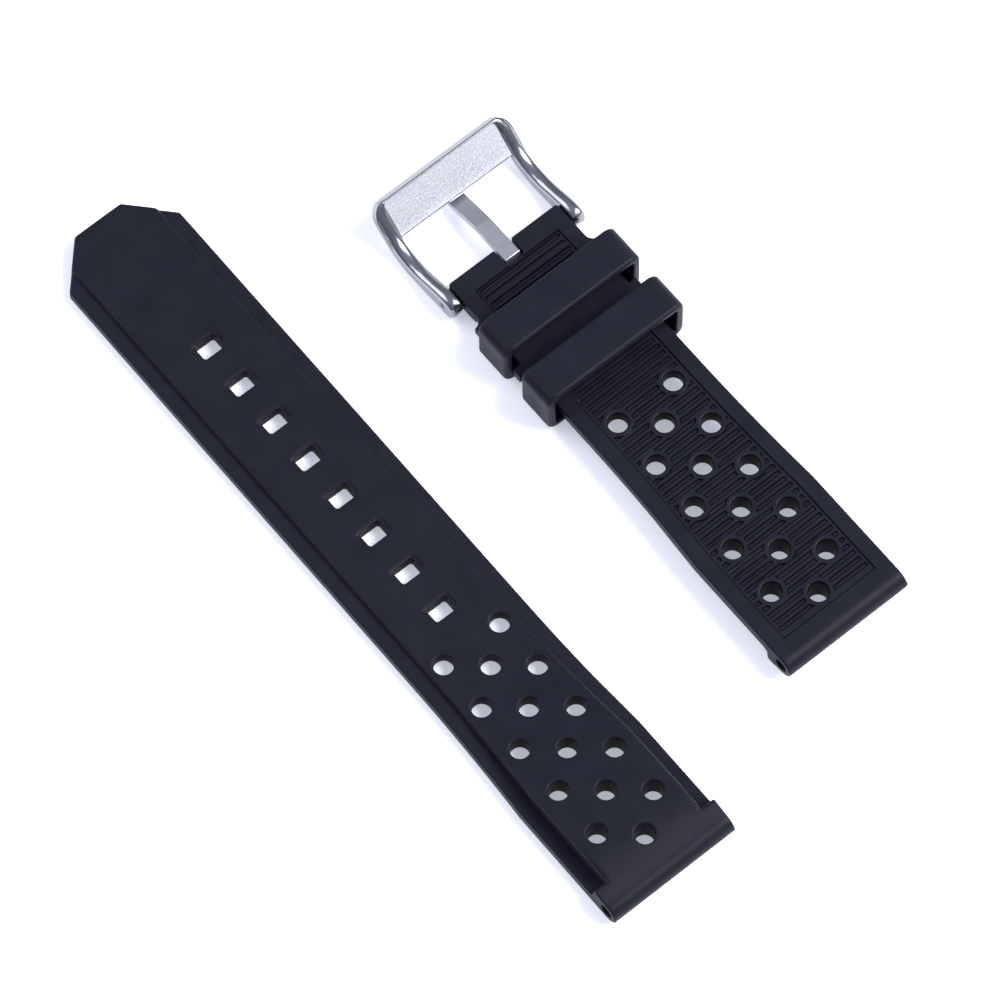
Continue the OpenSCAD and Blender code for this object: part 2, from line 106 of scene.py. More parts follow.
class StrapSizes(bpy.types.PropertyGroup):
    """Sizes of the two rubber halves."""

    tail_len: length("Tail length, from tip to lug end", node_width("tail_strap", 0))
    lug_end_w: length("Lug end width, of both halves", node_width("tail_strap", 1))
    tail_w: length("Tail width, past the flare", 18.4)
    buckle_w: length("Buckle half width, past the flare", 18.4)
    buckle_len: length("Buckle half length, of the rubber", 70.0)
    thin_t: length("Thin part, its thickness past the padding", 2.4)
    pad_t: length("Padding, greatest thickness near the lugs", 4.6)
    pad_x: length("Thickest place, from the lug end", 7.5)
    ramp_x: length("Ramp end, where the padding has run out", 41.0)
    full_w_x: length("Flare start, from the lug end", 19.0)
    bead_r: length("Bead radius, of the round lug end", 1.85)
    bore_d: length("Bore, for the watch's own spring bar", 1.9)
    edge_r: length("Edge radius, of the long edges", 0.3)
    flange_w: length("Flange width, along each side", 2.05)
    flange_t: length("Flange thickness", 1.8)
    flange_x: length("Flange start, from the lug end", 4.4)
    flange_fillet: length("Flange fillet, toward the lug end", 1.1)
    panel_r: length("Panel edge, its rounding", 0.6)
    tip_w: length("Tip width, of the flat at the tip", 7.6)
    tip_cut: length("Tip cut, length of the two cut corners", 5.7)
    tip_r: length("Tip corner, its radius", 0.7)
    hole_x: length("First hole, from the tip", 23.4)
    hole_pitch: length("Hole pitch, of the tongue holes", 6.8)
    hole_w: length("Hole width, across the strap", 3.2)
    hole_l: length("Hole length, along the strap", 2.4)
    hole_r: length("Hole corner, its radius", 0.4)
    hole_frame: length("Hole frame, width of the sunk frame round a hole", 0.45)
    hole_frame_d: length("Hole frame depth", 0.12)
    hole_lip: length("Hole lip, rounding of a tongue hole's rim", 0.12)
    rally_pitch: length("Rally pitch, of the rows of rally holes", 7.7)
    rally_y: length("Rally offset, of the outer holes from the middle", 4.65)
    rally_d: length("Rally hole, its diameter", 2.7)
    rally_end: length("Rally end, nearest hole from the lug end", 6.1)
    rally_lip: length("Rally lip, rounding of a rally hole's rim", 0.28)
    field_margin: length("Margin, plain beside the ribbed field", 2.25)
    field_d: length("Field depth, below its margins", 0.2)
    field_end: length("Field end, from the lug end", 3.9)
    rib_pitch: length("Rib pitch", 1.13)
    groove_w: length("Groove width", 0.5)
    groove_d: length("Groove depth, below the margins", 0.4)
    groove_end: length("Groove end, ledge beside the grooves", 0.35)
    ring_r: length("Ring radius, of the plain rings round rally holes", 2.1)
    tongue_holes: setting(IntProperty, "Tongue holes, their number", 8)
    rally_rows: setting(IntProperty, "Rally rows, each of two holes", 5)
    block_grooves: setting(IntProperty, "Block grooves, beside the buckle", 4)


class LoopSizes(bpy.types.PropertyGroup):
    """Sizes of the loops and of the buckle end that they run on."""

    loop_len: length("Loop length, along the strap", 5.8)
    loop_w: length("Loop width, outside", 22.8)
    loop_h: length("Loop height, outside", 8.9)
    wall: length("Wall, of each loop", 1.25)
    corner_r: length("Corner radius, outside", 1.75)
    inner_r: length("Inner corner radius", 0.5)
    edge_r: length("Edge radius, of the outer edges", 0.55)
    inner_edge_r: length("Inner edge radius", 0.3)
    gap: length("Gap, between a loop and the rubber under it", 0.05)
    play: length("Play, of the first loop between its stops", 0.15)
    first_x: length("First loop, from the end of the rubber", 8.8)
    stop_len: length("Stop length, along the strap", 2.75)
    stop_bite: length("Stop bite, past the inside of a loop", 0.25)
    bar_x: length("Bar, from the end of the rubber", 1.5)
    bar_end_t: length("Bar end, thickness of the rubber there", 2.6)
    bar_end_len: length("Bar end length", 5.0)
    slot_w: length("Slot width, for the tongue", 2.85)
    slot_d: length("Slot depth, for the tongue", 2.85)
    slot_r: length("Slot corner, its radius", 0.4)
    bar_bore_r: length("Bar bore, its radius", 0.79)


class BuckleSizes(bpy.types.PropertyGroup):
    """Sizes of the buckle frame, its tongue and the bar's spring."""

    gap: length("Frame gap, between the arms", 18.6)
    arm_t: length("Arm, its thickness", 2.0)
    arm_end_r: length("Arm end, radius of its round end", 1.7)
    arm_end_x: length("Arm end place, beyond the bar", 0.5)
    arm_h: length("Arm height, at the foot of its curve", 2.3)
    belly_x: length("Belly, lowest place from the bar axis", 6.6)
    frame_r: length("Frame radius, of the outer curve", 8.2)
    rise: setting(FloatProperty, "Rise, of the cross piece past its curve", radians(46), unit="ROTATION")
    face_t: length("Face thickness, under the blasted face", 1.4)
    rim_t: length("Rim thickness, at the outer rim", 1.65)
    rim_w: length("Rim width, beside the blasted face", 0.2)
    window_x: length("Window, its edge from the bar axis", 11.6)
    rim_x: length("Rim, from the bar axis", 15.9)
    corner_r: length("Corner, its radius seen from above", 1.9)
    crest_r: length("Crest, rounding of the top of an arm", 0.9)
    edge_r: length("Edge radius, of the lower edges", 0.3)
    arm_corner: length("Arm corner, its radius seen from above", 0.7)
    tongue_w: length("Tongue width", 2.45)
    tongue_t: length("Tongue thickness", 1.0)
    tongue_edge: length("Tongue edge, its rounding", 0.12)
    eye_r: length("Eye radius, round the bar", 1.15)
    eye_rise: length("Eye rise, its top above the tongue", 0.05)
    eye_end: length("Eye end, of the flat top behind the bar axis", 0.62)
    bend_x: length("Bend, from the bar axis", 5.5)
    channel_d: length("Channel depth, under the cross piece", 0.85)
    channel_gap: length("Channel gap, beside the tongue", 0.15)
    channel_end: length("Channel end, plain beside the rim", 1.1)
    tongue_gap: length("Tongue gap, above the channel's floor", 0.1)
    tongue_lead: length("Tongue lead, inside the window", 0.4)
    tongue_back: length("Tongue back, its tip from the rim", 1.7)
    tongue_drop: setting(FloatProperty, "Tongue drop, below its seat at rest", radians(0.8), unit="ROTATION")
    pin_bore_r: length("Pin bore, its radius", 0.44)
    spring_wire: length("Spring wire, its thickness", 0.2)
    spring_turns: setting(IntProperty, "Spring turns", 12)
    pin_travel: length("Pin travel, of each pin of the bar", 1.55)


class Finishes(bpy.types.PropertyGroup):
    """Colours of the finishes."""

    rubber: colour("Rubber, of the halves", "#161722")
    rubber_bloom: colour("Rubber bloom, paler patches", "#1a1b26")
    loop_rubber: colour("Loop rubber", "#171823")
    # The next two colours paint shade on the walls of grooves and holes, with paler patches at random
    groove: colour("Groove rubber, walls of grooves and holes", "#08080c")
    groove_bloom: colour("Groove bloom, paler patches on those walls", "#0b0b10")
    steel: colour("Steel, polished, of the buckle", "#98999f")
    blasted: colour("Blasted steel, of the sunk face", "#e6e6eb")
    blasted_pits: colour("Blasted pits, on that face", "#acacb4")
    tongue: colour("Tongue steel, brushed", "#bababf")
    # Kept dark as painted shade, so that the pin ends in the arms' bores read dark
    bar: colour("Bar steel, turned", "#74757b")
    spring: colour("Spring steel, drawn wire", "#8e8f94")
    floor: colour("Floor, that the strap lies on", "#fbfbfd")


def sizes(group):
    """The scene's values of one property group."""
    return getattr(bpy.context.scene, "rally_" + group)


# Numbers on arrays of points

def drop(depth, r):
    """How far an edge of radius r falls away at a depth inside it."""
    short = np.clip(r - depth, 0, r)
    return r - np.sqrt(r * r - short * short)


def edge_steps(r, count=5):
    """Distances from an edge at which its rounding of radius r is drawn."""
    return [r * (1 - cos(radians(90 * i / count))) for i in range(count + 1)]


def ease(low, high, value):
    """0 below low, 1 above high, and a straight slope between them."""
    return np.clip((value - low) / (high - low), 0, 1)


def soft_ease(low, high, value):
    """0 below low, 1 above high, and an S-shaped slope between them."""
    t = ease(low, high, value)
    return t * t * (3 - 2 * t)


def away(xy, line):
    """Distance from each point to the nearest place on a line of points."""
    line = np.asarray(line, float)
    best = np.full(len(xy), np.inf)
    for a, b in zip(line[:-1], line[1:]):
        way = b - a
        t = np.clip(((xy - a) @ way) / max(way @ way, 1e-20), 0, 1)
        gap = xy - a - t[:, None] * way
        best = np.minimum(best, np.hypot(gap[:, 0], gap[:, 1]))
    return best


def contains(loop, xy):
    """Whether each point lies inside a closed loop."""
    loop = np.asarray(loop, float)
    inside = np.zeros(len(xy), bool)
    for (ax, ay), (bx, by) in zip(loop, np.roll(loop, -1, axis=0)):
        if ay != by:
            crossing = (ay > xy[:, 1]) != (by > xy[:, 1])
            inside ^= crossing & (xy[:, 0] < ax + (xy[:, 1] - ay) * (bx - ax) / (by - ay))
    return inside


# Lines in a plan

def offset_line(line, gap, closed=False):
    """The line moved to its left by gap, with mitred corners."""
    pts = [Vector(p) for p in line]
    ways = [(b - a).normalized() for a, b in zip(pts, pts[1:] + pts[:1])]
    moved = []
    for i, p in enumerate(pts):
        sides = [ways[k] for k in (i - 1, i) if closed or 0 <= k < len(pts) - 1]
        mean = sum(sides, Vector((0, 0))) / len(sides)
        mean /= max(mean.dot(mean), 0.2)
        moved.append(tuple(p + Vector((-mean.y, mean.x)) * gap))
    return moved


def even_points(a, b, count):
    """Points at even distances from a, which is left out, to b."""
    return [(a[0] + (b[0] - a[0]) * i / count, a[1] + (b[1] - a[1]) * i / count)
            for i in range(1, count + 1)]


def spaced(points, step):
    """The same line with further points, so that none of its stretches is longer than step."""
    line = [points[0]]
    for a, b in zip(points[:-1], points[1:]):
        line += even_points(a, b, max(1, ceil(hypot(b[0] - a[0], b[1] - a[1]) / step - 1e-6)))
    return line


def rounded_line(corners, radii, count=6):
    """A line through corners, each rounded by its radius."""
    line = [corners[0]]
    for before, corner, after, r in zip(corners, corners[1:], corners[2:], radii[1:]):
        p = Vector(corner)
        u, v = (Vector(before) - p).normalized(), (Vector(after) - p).normalized()
        half = u.angle(v) / 2
        centre = p + (u + v).normalized() * (r / sin(half))
        start, end = p + u * (r / tan(half)) - centre, p + v * (r / tan(half)) - centre
        turns = [-start.angle_signed(end) * i / count for i in range(count + 1)] if r else []
        line += [tuple(centre + Matrix.Rotation(turn, 2) @ start) for turn in turns] or [corner]
    return line + [corners[-1]]


def circle(centre, r, count=44):
    """A closed loop of points on a circle."""
    return [(centre[0] + r * cos(2 * pi * i / count), centre[1] + r * sin(2 * pi * i / count))
            for i in range(count)]


def mirrored(line):
    """A line on the +Y side that ends on the middle, carried on over its mirror image."""
    return line + [(x, -y) for x, y in reversed(line[:-1])]


def quarter_arc(cx, cy, r, quarter, count=6):
    """Points of one quarter of a circle."""
    turns = [pi / 2 * (quarter + i / count) for i in range(count + 1)]
    return [(cx + r * cos(turn), cy + r * sin(turn)) for turn in turns]


def soft_rect(centre, size, r, count=6, grow=0):
    """A closed loop of points round a rectangle with round corners, at a distance outside it."""
    loop = []
    for quarter, (sx, sy) in enumerate(((1, 1), (-1, 1), (-1, -1), (1, -1))):
        cx = centre[0] + sx * (size[0] / 2 - r)
        cy = centre[1] + sy * (size[1] / 2 - r)
        loop += quarter_arc(cx, cy, r + grow, quarter, count)
    return loop


def corner_depth(dx, dy):
    """Distance outside a corner from the distances outside its two sides, negative inside it."""
    return np.hypot(np.maximum(dx, 0), np.maximum(dy, 0)) + np.minimum(np.maximum(dx, dy), 0)


def rect_depth(xy, centre, size, r):
    """Distance from each point to a rectangle with round corners, negative inside it."""
    return corner_depth(*(np.abs(xy - centre) - np.asarray(size) / 2 + r).T) - r


# Solids over a plan

class Net:
    """Triangles over a plan that follow every line drawn into it."""

    def __init__(self):
        self.points = []
        self.edges = []

    def dots(self, points):
        self.points += [tuple(p) for p in points]

    def line(self, points):
        start = len(self.points)
        self.dots(points)
        self.edges += [(start + i, start + i + 1) for i in range(len(points) - 1)]

    def loop(self, points):
        self.line(points)
        self.edges.append((len(self.points) - 1, len(self.points) - len(points)))

    def fill(self, keep):
        """Joins all into triangles and drops those whose middle keep() leaves out."""
        flat = [Vector(p) / MM for p in self.points]
        xy, _, faces, *_ = delaunay_2d_cdt(flat, self.edges, [], 0, WELD / MM)
        self.xy = np.array([tuple(p) for p in xy], float) * MM
        tris = np.array(faces, int)
        self.tris = tris[keep(self.xy[tris].mean(axis=1))]

    def border(self):
        """The directed edges that only one triangle has."""
        pairs = np.concatenate([self.tris[:, [i, (i + 1) % 3]] for i in range(3)])
        known = {tuple(p) for p in pairs}
        return [(a, b) for a, b in known if (b, a) not in known]


def closed_solid(net, top_z, bottom_z):
    """Vertices and faces of the solid between two heights over a net."""
    count = len(net.xy)
    verts = np.concatenate([np.column_stack([net.xy, top_z(net.xy)]),
                            np.column_stack([net.xy, bottom_z(net.xy)])])
    faces = [tuple(t) for t in net.tris] + [tuple(t[::-1] + count) for t in net.tris]
    faces += [(a + count, b + count, b, a) for a, b in net.border()]
    return verts, faces


def hex_dots(start, end, half_w, step):
    """Points of a staggered grid from x = start to x = end."""
    return np.array([(x + (i % 2) * step / 2, y)
                     for i, y in enumerate(np.arange(-half_w, half_w, step * sqrt(3) / 2))
                     for x in np.arange(start, end, step)])


# An edge of a piece is shown sharp from this angle on
SHARP = radians(34)
# Roundings of the mouths of the bores
LUG_BORE_LIP, BAR_BORE_LIP = 0.15 * MM, 0.05 * MM
# Turns a plan that runs from a lug end so that it runs toward -X
HALF_TURN = Matrix.Rotation(pi, 4, "Z")


def placed(name, data):
    """A new object in the scene."""
    obj = bpy.data.objects.new(name, data)
    bpy.context.scene.collection.objects.link(obj)
    return obj


def mesh_piece(name, verts, faces, place, finishes, finish_of=None):
    """A closed mesh object at a place, with a material for each face."""
    mesh = bpy.data.meshes.new(name)
    mesh.from_pydata([tuple(v) for v in verts], [], [tuple(int(i) for i in f) for f in faces])
    for finish in finishes:
        mesh.materials.append(finish)
    if finish_of is not None:
        mesh.polygons.foreach_set("material_index", finish_of)
    bm = bmesh.new()
    bm.from_mesh(mesh)
    bmesh.ops.remove_doubles(bm, verts=bm.verts, dist=5 * WELD)
    bmesh.ops.dissolve_degenerate(bm, edges=bm.edges, dist=WELD)
    if any(not e.is_manifold for e in bm.edges):
        raise RuntimeError(f"{name} isn't closed: {sum(not e.is_manifold for e in bm.edges)} edges")
    bmesh.ops.recalc_face_normals(bm, faces=bm.faces)
    for face in bm.faces:
        face.smooth = True
    for edge in bm.edges:
        edge.smooth = edge.calc_face_angle(0) < SHARP
    bm.to_mesh(mesh)
    bm.free()
    mesh.transform(place)
    return placed(name, mesh)


def rings_mesh(rings, round_again=False):
    """Vertices and faces of a skin over closed rings of points, capped where it has ends."""
    count = len(rings[0])
    last = len(rings) - 1
    verts = [v for ring in rings for v in ring]
    faces = []
    for a in range(last + round_again):
        b = (a + 1) % len(rings)
        for i in range(count):
            k = (i + 1) % count
            faces.append((a * count + i, a * count + k, b * count + k, b * count + i))
    if not round_again:
        faces += [tuple(range(count)), tuple(range(len(verts) - 1, last * count - 1, -1))]
    return verts, faces


def bore(piece, centre, r, reach, lip):
    """Cuts a bore along Y through a piece, with a rounded mouth at both ends."""
    mouth = [(reach - d, r + lip - sqrt(lip * lip - (lip - d) ** 2)) for d in edge_steps(lip)]
    profile = [(reach + 1 * MM, mouth[0][1])] + mouth
    profile = [(-z, w) for z, w in profile] + profile[::-1]
    rings = [[(x, y, z) for x, y in circle((0, 0), w, 40)] for z, w in profile]
    place = Matrix.Translation(centre) @ Matrix.Rotation(pi / 2, 4, "X")
    cutter = mesh_piece(piece.name + "_cutter", *rings_mesh(rings), place, [])
    cut = piece.modifiers.new("bore", "BOOLEAN")
    cut.object = cutter
    cut.operation = "DIFFERENCE"
    cut.solver = "MANIFOLD"
    apply_modifiers(piece)
    bpy.data.objects.remove(cutter)


def apply_modifiers(piece):
    """Puts what the modifiers make into the mesh itself."""
    graph = bpy.context.evaluated_depsgraph_get()
    made = bpy.data.meshes.new_from_object(piece.evaluated_get(graph))
    old = piece.data
    piece.modifiers.clear()
    piece.data = made
    bpy.data.meshes.remove(old)


def dress(piece, body, slot, *nodes):
    """Evens the shading of a piece and ties it to the frame."""
    even = piece.modifiers.new("even shading", "WEIGHTED_NORMAL")
    even.mode = "FACE_AREA"
    even.weight = 50
    even.keep_sharp = True
    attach(piece, body)
    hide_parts(*nodes)


# Materials

def linear(hex_value):
    """An sRGB hex value as a linear colour."""
    parts = [int(hex_value[i:i + 2], 16) / 255 for i in (1, 3, 5)]
    return [c / 12.92 if c <= 0.04045 else ((c + 0.055) / 1.055) ** 2.4 for c in parts] + [1]


def add_node(tree, kind, settings=(), links=()):
    """Adds a node with its settings, by socket or attribute, and its links, by socket."""
    node = tree.nodes.new("ShaderNode" + kind)
    for key, value in dict(settings).items():
        if isinstance(key, str) and hasattr(node, key):
            setattr(node, key, value)
        else:
            node.inputs[key].default_value = value
    for key, source in dict(links).items():
        tree.links.new(source, node.inputs[key])
    return node


def new_material(name):
    """An empty material with its node tree and the shader that it ends in."""
    material = bpy.data.materials.new(name)
    material.use_nodes = True
    tree = material.node_tree
    tree.nodes.clear()
    shader = add_node(tree, "BsdfPrincipled")
    tree.links.new(shader.outputs[0], add_node(tree, "OutputMaterial").inputs[0])
    return material, tree, shader


def grain(tree, size, detail=2.0, along=None):
    """Noise whose lumps are about size across, drawn out along an axis where asked."""
    place = add_node(tree, "TexCoord").outputs["Object"]
    if along:
        place = add_node(tree, "Mapping", {"Scale": along}, {"Vector": place}).outputs[0]
    noise = add_node(tree, "TexNoise", {"Scale": 1 / size, "Detail": detail}, {"Vector": place})
    return noise.outputs["Fac"]


def relief(tree, shader, height, depth):
    """Bumps the surface by a height map that rises by depth."""
    bump = add_node(tree, "Bump", {"Strength": 1.0, "Distance": depth}, {"Height": height})
    tree.links.new(bump.outputs[0], shader.inputs["Normal"])


def blended(tree, mask, low, high):
    """A colour that runs from low to high with a mask."""
    settings = {"data_type": "RGBA", 6: linear(low), 7: linear(high)}
    return add_node(tree, "Mix", settings, {0: mask}).outputs[2]


def ranged(tree, value, low, high):
    """A pattern's value turned to the range from low to high."""
    settings = {"From Min": 0.3, "From Max": 0.7, "To Min": low, "To Max": high}
    return add_node(tree, "MapRange", settings, {"Value": value}).outputs[0]


def moulded_rubber(name, base, bloom, gloss=0.14):
    """Rubber out of a fine-eroded steel mould: near black, silky matt, with a faint haze."""
    material, tree, shader = new_material(name)
    cloud = grain(tree, 4 * MM, 3.0)
    tree.links.new(blended(tree, ranged(tree, cloud, 0, 1), base, bloom), shader.inputs["Base Color"])
    tree.links.new(ranged(tree, cloud, 0.42, 0.5), shader.inputs["Roughness"])
    shader.inputs["IOR"].default_value = 1.5
    shader.inputs["Specular IOR Level"].default_value = gloss
    # The eroded texture is about 0.05 mm wide and is drawn at 0.12 mm so that it shows
    relief(tree, shader, grain(tree, 0.12 * MM), 0.006 * MM)
    return material


def steel(name, base, rough, depth, size, detail, along=None, shade=None):
    """Steel whose noise sets its roughness, its relief and, where a shade is given, its colour."""
    material, tree, shader = new_material(name)
    shader.inputs["Metallic"].default_value = 1
    marks = grain(tree, size, detail, along)
    if shade:
        tree.links.new(blended(tree, ranged(tree, marks, 0, 1), shade, base), shader.inputs["Base Color"])
    else:
        shader.inputs["Base Color"].default_value = linear(base)
    tree.links.new(ranged(tree, marks, *rough), shader.inputs["Roughness"])
    relief(tree, shader, marks, depth)
    return material


def finish(key):
    """The material of that name, made on first use."""
    if key in bpy.data.materials:
        return bpy.data.materials[key]
    tone = sizes("finishes")
    turned = {"rough": (0.22, 0.34), "depth": 0.003 * MM, "detail": 2.0, "along": (0.04, 1, 0.04)}
    makers = {
        "moulded_rubber": lambda: moulded_rubber(key, tone.rubber, tone.rubber_bloom),
        # The loops come out of a mould of their own, a shade paler
        "satin_moulded_rubber": lambda: moulded_rubber(key, tone.loop_rubber, tone.rubber_bloom),
        # The walls of grooves and holes get a near-black, less glossy rubber: painted shade in those recesses
        "wall_shade_rubber": lambda: moulded_rubber(key, tone.groove, tone.groove_bloom, 0.05),
        # Bar steel left as turned: fine rings round the bar break up its shine. Its grey is kept dark as painted
        # shade, so that the pin ends in the arms' bores read dark
        "turned_steel_painted_shade": lambda: steel(key, tone.bar, size=0.06 * MM, **turned),
        # Spring wire as drawn through its die: a soft shine without marks that one can count
        "drawn_spring_wire": lambda: steel(key, tone.spring, size=0.02 * MM, **turned),
        # 316L steel polished on a wheel: clear reflections with faint wiping marks
        "polished_steel": lambda: steel(key, tone.steel, (0.18, 0.27), 0.002 * MM, 0.5 * MM, 3.0, (1, 6, 1)),
        # 316L steel blasted with glass beads: an even frosted grey that sparkles a little. The beads'
        # dimples are about 0.1 mm wide and are drawn at 0.2 mm so that they show
        "blasted_steel": lambda: steel(key, tone.blasted, (0.55, 0.7), 0.02 * MM, 0.2 * MM, 4.0,
                                       shade=tone.blasted_pits),
        # 316L steel brushed with a belt: fine lines along its length and a soft grey
        "brushed_steel": lambda: steel(key, tone.tongue, (0.34, 0.46), 0.005 * MM, 0.08 * MM, 2.0,
                                       (0.06, 1, 1)),
    }
    return makers[key]()


# Rubber halves

# The wall of the raised panel leans by this much and meets the flange in a small hollow
WALL_LEAN = 0.16 * MM


class Half:
    """The shape that both halves share, from the lug end to where the padding runs out."""

    # Tongue holes and the sunk frames round them: the middle, size and corner radius of each
    holes = frames = ()
    # Spacing of the points along its long sides, and the places of those at the flange's fillet
    SPACING, FILLET_STEPS = 1.4 * MM, (0.02, 0.12, 0.35, 0.65, 1)

    def __init__(self, width, reach, end):
        self.s, self.width, self.reach, self.end = sizes("strap"), width, reach, end

    def half_width(self, x):
        """Half the width of the plan at x."""
        s = self.s
        left = 1 - ease(s.full_w_x, s.ramp_x, x)
        return self.width / 2 + (s.lug_end_w - self.width) / 2 * left ** 2

    def thickness(self, x):
        """Height of the outer side without flanges or edges."""
        s = self.s
        bead = s.bead_r + np.sqrt(np.clip(s.bead_r ** 2 - (s.bead_r - x) ** 2, 0, None))
        crown = 2 * s.bead_r + (s.pad_t - 2 * s.bead_r) * np.sin(ease(s.bead_r, s.pad_x, x) * pi / 2)
        ramp = s.thin_t + (s.pad_t - s.thin_t) * (1 + np.cos(ease(s.pad_x, s.ramp_x, x) * pi)) / 2
        return np.where(x < s.bead_r, bead, np.where(x < s.pad_x, crown, ramp))

    def side(self, end):
        """Points of the long side at +Y from the lug end to x = end."""
        s = self.s
        xs = edge_steps(s.bead_r, 10) + [s.flange_x - d for d in edge_steps(s.panel_r)[::-1]]
        xs += [s.flange_x + s.flange_fillet * f for f in self.FILLET_STEPS]
        xs += list(np.arange(xs[-1] + 1 * MM, end - 0.6 * MM, self.SPACING)) + [end]
        return [(x, self.half_width(x)) for x in xs]

    def rally_points(self):
        """Middles of the rally holes."""
        s = self.s
        middle = [(s.rally_end + i * s.rally_pitch, 0) for i in range(s.rally_rows)]
        outer = [(s.rally_end + (i + 0.5) * s.rally_pitch, side * s.rally_y)
                 for i in range(s.rally_rows) for side in (-1, 1)]
        return middle + outer

    def rally_gap(self, xy, r):
        """Distance of each point from the nearest circle of radius r round a rally hole."""
        return np.min([np.hypot(*(xy - c).T) - r for c in self.rally_points()], axis=0)

    def hole_gap(self, xy):
        """Distance of each point from the nearest tongue hole."""
        return np.min([np.full(len(xy), np.inf)] + [rect_depth(xy, *h) for h in self.holes], axis=0)

    def panel_depth(self, xy):
        """Distance of each point from the flange zones, negative inside one."""
        s = self.s
        dy = self.half_width(xy[:, 0]) - s.flange_w - np.abs(xy[:, 1])
        return corner_depth(np.maximum(s.flange_x - xy[:, 0], xy[:, 0] - self.end), dy)

    def panel_line(self, gap):
        """Line on the panel at a distance from the flange on the +Y side."""
        s = self.s
        edge = self.half_width(s.flange_x) - s.flange_w
        start = s.flange_x - gap
        corner = [(start, edge - gap)]
        if gap > 0:
            corner = [(s.flange_x - gap * cos(a), edge - gap * sin(a))
                      for a in np.linspace(0, pi / 2, 7)]
        xs = np.arange(s.flange_x + 1 * MM, min(self.end, self.reach) - 0.5 * MM, 1.5 * MM)
        along = [(x, self.half_width(x) - s.flange_w - gap) for x in xs]
        return [(start, s.lug_end_w / 2)] + corner + along

    def outer_z(self, xy):
        """Height of the outer side with its flanges."""
        s, x = self.s, xy[:, 0]
        top = self.thickness(x)
        floor = s.flange_t + drop(x - s.flange_x, s.flange_fillet)
        gap = self.panel_depth(xy)
        radius = np.minimum(s.panel_r, 0.75 * (top - s.flange_t))
        foot = ease(-WALL_LEAN, 0, gap)
        wall = floor + foot ** 1.5 * (top - radius - floor).clip(0)
        return np.where(gap > 0, top - drop(gap, radius), wall)


class Ribs:
    """A sunk ribbed field on the wrist face, from x = start to x = end."""

    # How far its walls lean, half of it to each side of their line
    SLOPE = 0.19 * MM

    def __init__(self, half, start, end, count=None):
        s = half.s
        self.s, self.half, self.start, self.end = s, half, start, end
        if count is None:
            count = floor((end - start) / s.rib_pitch + 1e-9) - 1
        first = (start + end - (count - 1) * s.rib_pitch) / 2
        self.centres = first + np.arange(count) * s.rib_pitch

    def groove_y(self, x):
        """Half the length of a groove at x."""
        return self.half.half_width(x) - self.s.field_margin - self.s.groove_end

    def field_depth(self, xy):
        """Distance of each point inside the field from the field's edge."""
        across = self.half.half_width(xy[:, 0]) - self.s.field_margin - np.abs(xy[:, 1])
        return np.minimum(across, np.minimum(xy[:, 0] - self.start, self.end - xy[:, 0]))

    def draw(self, net):
        """Draws the top and the foot of every wall into a net."""
        s, w = self.s, self.s.groove_w / 2
        leans = (-self.SLOPE / 2, self.SLOPE / 2)
        for gap in leans:
            xs = np.linspace(self.start + gap, self.end - gap, 40)
            side = [(x, self.half.half_width(x) - s.field_margin - gap) for x in xs]
            net.loop(spaced(side + [(x, -y) for x, y in reversed(side)], 2 * MM))
        for cx in self.centres:
            for gap in leans:
                net.loop(soft_rect((cx, 0), (2 * w, 2 * self.groove_y(cx)), w - INSIDE, 4, gap))
        for gap in leans:
            for centre in self.half.rally_points():
                if centre[0] < self.end:
                    net.loop(circle(centre, s.ring_r + gap, 36))
            for island in self.half.frames:
                net.loop(soft_rect(*island, 3, gap))

    def rise(self, xy):
        """How far the field and its grooves lie above the wrist face."""
        s, w, lean = self.s, self.s.groove_w / 2, self.SLOPE / 2
        nearest = self.centres[np.abs(xy[:, :1] - self.centres[None, :]).argmin(axis=1)]
        over = np.maximum(np.abs(xy[:, 1]) - (self.groove_y(nearest) - w), 0)
        # A groove stops at the plain rings round rally holes and at the plain islands round tongue holes
        inside = np.minimum(w - np.hypot(xy[:, 0] - nearest, over), self.half.rally_gap(xy, s.ring_r))
        for island in self.half.frames:
            inside = np.minimum(inside, rect_depth(xy, *island))
        return (ease(-lean, lean, self.field_depth(xy)) * s.field_d
                + ease(-lean, lean, inside) * (s.groove_d - s.field_d))


# A face is a wall of a groove if it rises by more than this, and lies no further from its field
WALL_RISE, WALL_NEAR = 0.06 * MM, 0.1 * MM


def wall_faces(fields, net, rim, verts, faces):
    """One for each face that is a steep wall of a ribbed field or of a hole, zero for all others; these faces take
    the painted shade.
    """
    heights = verts[len(net.xy):, 2][net.tris]
    steep = np.ptp(heights, axis=1) > WALL_RISE
    middles = net.xy[net.tris].mean(axis=1)
    near = np.max([ribs.field_depth(middles) for ribs in fields], axis=0) > -WALL_NEAR
    wall = np.zeros(len(faces), int)
    wall[len(net.tris):2 * len(net.tris)] = steep & near
    sides = net.xy[np.array(net.border())].mean(axis=1)
    wall[2 * len(net.tris):] = away(sides, rim) > WALL_NEAR
    return wall


# Spacing of a half's own net points, and how far they stay from its rim and its rally holes, its
# tongue holes, the middle of its flange wall and its ribbed fields
NET_STEP, CLEAR, HOLE_CLEAR, WALL_CLEAR, FIELD_CLEAR = [v * MM for v in (1.15, 0.6, 0.8, 0.7, 0.3)]
WALL_MIDDLE = 0.2 * MM


